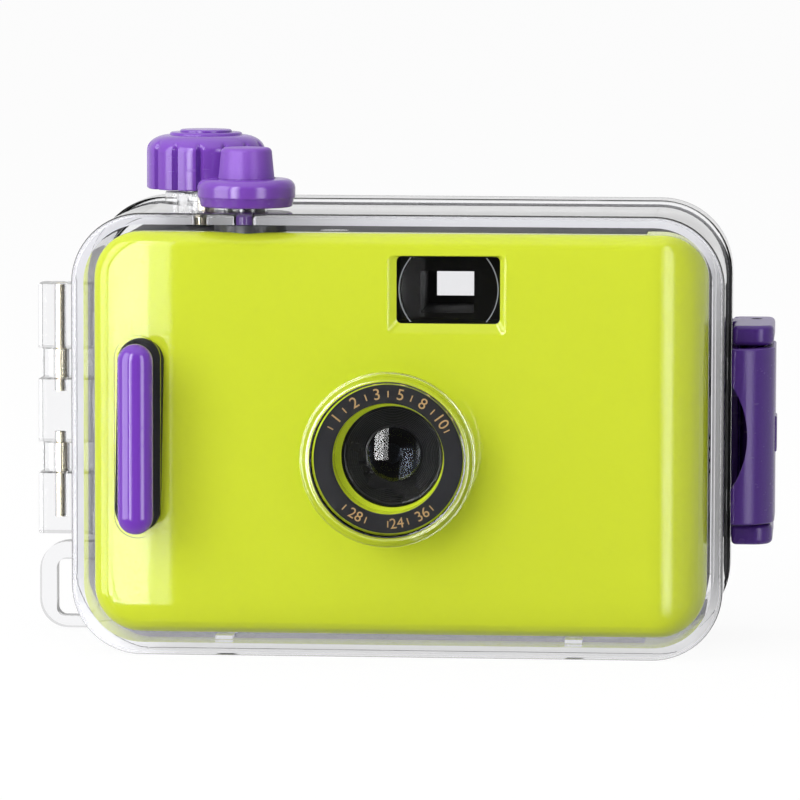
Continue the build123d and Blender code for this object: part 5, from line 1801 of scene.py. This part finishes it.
@dataclass
class FilmTransport:
    """Wheels, spool, sprocket, counter, rewind and pressure plate."""

    counter: Point = (-12.0, 4.0, 67.0)
    figure_radius: float = 4.9
    figure_height: float = 1.9
    figures: int = 9
    count_step: int = 3
    ink_rise: float = 0.01

    def build(self) -> None:
        """Dresses the moving pieces of the film's path and prints the count."""
        dress(PLAIN_BLACK, "take_up_spool", "film_sprocket", "rewind_shaft", "rewind_crank", "advance_wheel")
        dress(COUNTER_WHITE, "counter_disc")
        dress(PIN_STEEL, "crank_pin")
        dress(DARK_STEEL, "pressure_plate")
        dress(SPRING_STEEL, "pressure_spring")
        self._counter_figures()

    def _counter_figures(self) -> None:
        """Prints the plain count round the counter's disc."""
        figures = Workpiece()
        x, y, z = self.counter
        home = Matrix.Translation((x, y, z + self.ink_rise))
        out = Matrix.Translation((0.0, -self.figure_radius, 0.0))
        for number in range(self.figures):
            turn = Matrix.Rotation(FULL_TURN * number / self.figures, 4, "Z")
            text = str(self.count_step * number)
            figures.join(lettering(text, self.figure_height, home @ turn @ out))
        figures.finish("counter_figures", Body.COUNTER, "counter_white", COUNTER_INK, weigh=False)


# Studio.


@dataclass(frozen=True)
class Panel:
    """A bright panel as glossy faces mirror it, by its direction in degrees from the camera's own front."""

    left: float
    right: float
    low: float
    high: float
    strength: float
    blur: float


@dataclass(frozen=True)
class Softbox:
    """An area lamp, with its place and size in metres and its power in watts."""

    name: str
    spot: Point
    size: tuple[float, float]
    watts: float
    target: Point = (0.0, 0.0, 0.04)

    def hang(self) -> None:
        """Hangs the softbox so that it looks at the camera and isn't seen itself."""
        lamp = bpy.data.lights.new(self.name, "AREA")
        lamp.shape = "RECTANGLE"
        lamp.size, lamp.size_y = self.size
        lamp.energy = self.watts
        box = bpy.data.objects.new(self.name, lamp)
        box.location = self.spot
        box.rotation_euler = (Vector(self.spot) - Vector(self.target)).to_track_quat("Z", "Y").to_euler()
        box.visible_camera = False
        box.visible_transmission = False
        box.visible_glossy = False
        bpy.context.scene.collection.objects.link(box)


@dataclass
class Studio:
    """Pale floor, soft boxes, bright surroundings and the camera at the photograph's angle."""

    aim: Point = (0.67, -17.0, 44.1)
    stand: Point = (75.87, -1017.0, 140.4)
    focal: float = 267.5
    roll: float = 0.15
    floor_reach: float = 4.0
    floor_drop: float = 0.05
    fill: tuple[float, float] = (1.05, 0.25)
    panels: tuple[Panel, ...] = (
        Panel(-76.0, -38.0, -13.5, 42.0, 5.0, 0.5),
        Panel(-31.0, -18.5, -13.5, 42.0, 11.0, 0.5),
        Panel(-18.5, -12.0, -13.5, 42.0, 4.5, 0.5),
        Panel(31.0, 50.0, -14.0, 34.0, 6.0, 6.0),
    )
    softboxes: tuple[Softbox, ...] = (
        Softbox("left box", (-0.6, -0.95, 0.55), (0.9, 0.8), 9.3),
        Softbox("right box", (0.75, -0.85, 0.45), (0.6, 0.7), 0.7),
        Softbox("top box", (-0.1, -0.15, 1.0), (0.9, 0.7), 3.5),
    )

    def build(self) -> None:
        """Sets up the whole studio."""
        self._floor()
        self._world()
        for softbox in self.softboxes:
            softbox.hang()
        self._camera()
        bpy.context.scene.view_settings.view_transform = "Standard"

    def _floor(self) -> None:
        """Lays the pale floor, which keeps a soft shadow, just under the case's base."""
        made = Workpiece()
        drop = Matrix.Translation((0.0, 0.0, -self.floor_drop * MM))
        bmesh.ops.create_grid(made.bm, x_segments=1, y_segments=1, size=self.floor_reach, matrix=drop)
        mesh = bpy.data.meshes.new("floor")
        made.bm.to_mesh(mesh)
        mesh.materials.append(FLOOR_PALE.make())
        floor = bpy.data.objects.new("floor", mesh)
        bpy.context.scene.collection.objects.link(floor)

    def _world(self) -> None:
        """Makes the surroundings: white behind and through, soft for light, with panels in reflections."""
        world = bpy.data.worlds.new("studio")
        world.use_nodes = True
        world.node_tree.nodes.clear()
        board = NodeBoard(world.node_tree)
        axes = board.add("SeparateXYZ", Vector=board.add("TexCoord").outputs["Generated"])
        x, y, z = axes.outputs
        azimuth = board.sum("ARCTAN2", x, board.sum("MULTIPLY", y, -1.0))
        elevation = board.sum("ARCSINE", z, 0.0)
        depth = board.ramp(y, (-0.93, 0.25), (0.03, 0.8))
        sky = board.ramp(z, (0.45, 0.85), (0.0, 1.3))
        surroundings = board.sum("MAXIMUM", depth, sky)
        for panel in self.panels:
            across = board.between(azimuth, panel.left, panel.right, panel.blur)
            along = board.between(elevation, panel.low, panel.high, panel.blur)
            bright = board.sum("MULTIPLY", board.sum("MULTIPLY", across, along), panel.strength)
            surroundings = board.sum("ADD", surroundings, bright)
        seen, mirrored = board.rays()
        light = board.blend(seen, board.ramp(x, (-0.9, 0.9), self.fill), 1.0)
        strength = board.blend(mirrored, light, surroundings)
        glow = board.add("Background", Color=(1.0, 1.0, 1.0), Strength=strength)
        board.add("OutputWorld", Surface=glow.outputs[0])
        bpy.context.scene.world = world

    def _camera(self) -> None:
        """Places the camera at the photograph's angle."""
        lens = bpy.data.cameras.new("camera")
        lens.lens = self.focal
        lens.sensor_width = 36.0
        lens.clip_start = 0.05
        lens.clip_end = 50.0
        view = bpy.data.objects.new("camera", lens)
        stand, aim = Vector(self.stand) * MM, Vector(self.aim) * MM
        look = (aim - stand).to_track_quat("-Z", "Y").to_matrix().to_4x4()
        tilt = Matrix.Rotation(math.radians(self.roll), 4, "Z")
        view.matrix_world = Matrix.Translation(stand) @ look @ tilt
        bpy.context.scene.collection.objects.link(view)
        bpy.context.scene.camera = view


def main() -> None:
    """Loads the frame, builds every sub-assembly in order and sets up the studio."""
    logging.basicConfig(level=logging.INFO, format="%(message)s")
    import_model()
    assemblies = (
        CameraBody(), FilmTransport(), FrontCover(), Lens(), Viewfinder(),
        ClearCase(), GripBar(), ShutterControl(), WinderKnob(), SideLatch(),
    )
    for assembly in assemblies:
        log.info("building %s", type(assembly).__name__)
        assembly.build()
    Studio().build()


if __name__ == "__main__":
    main()
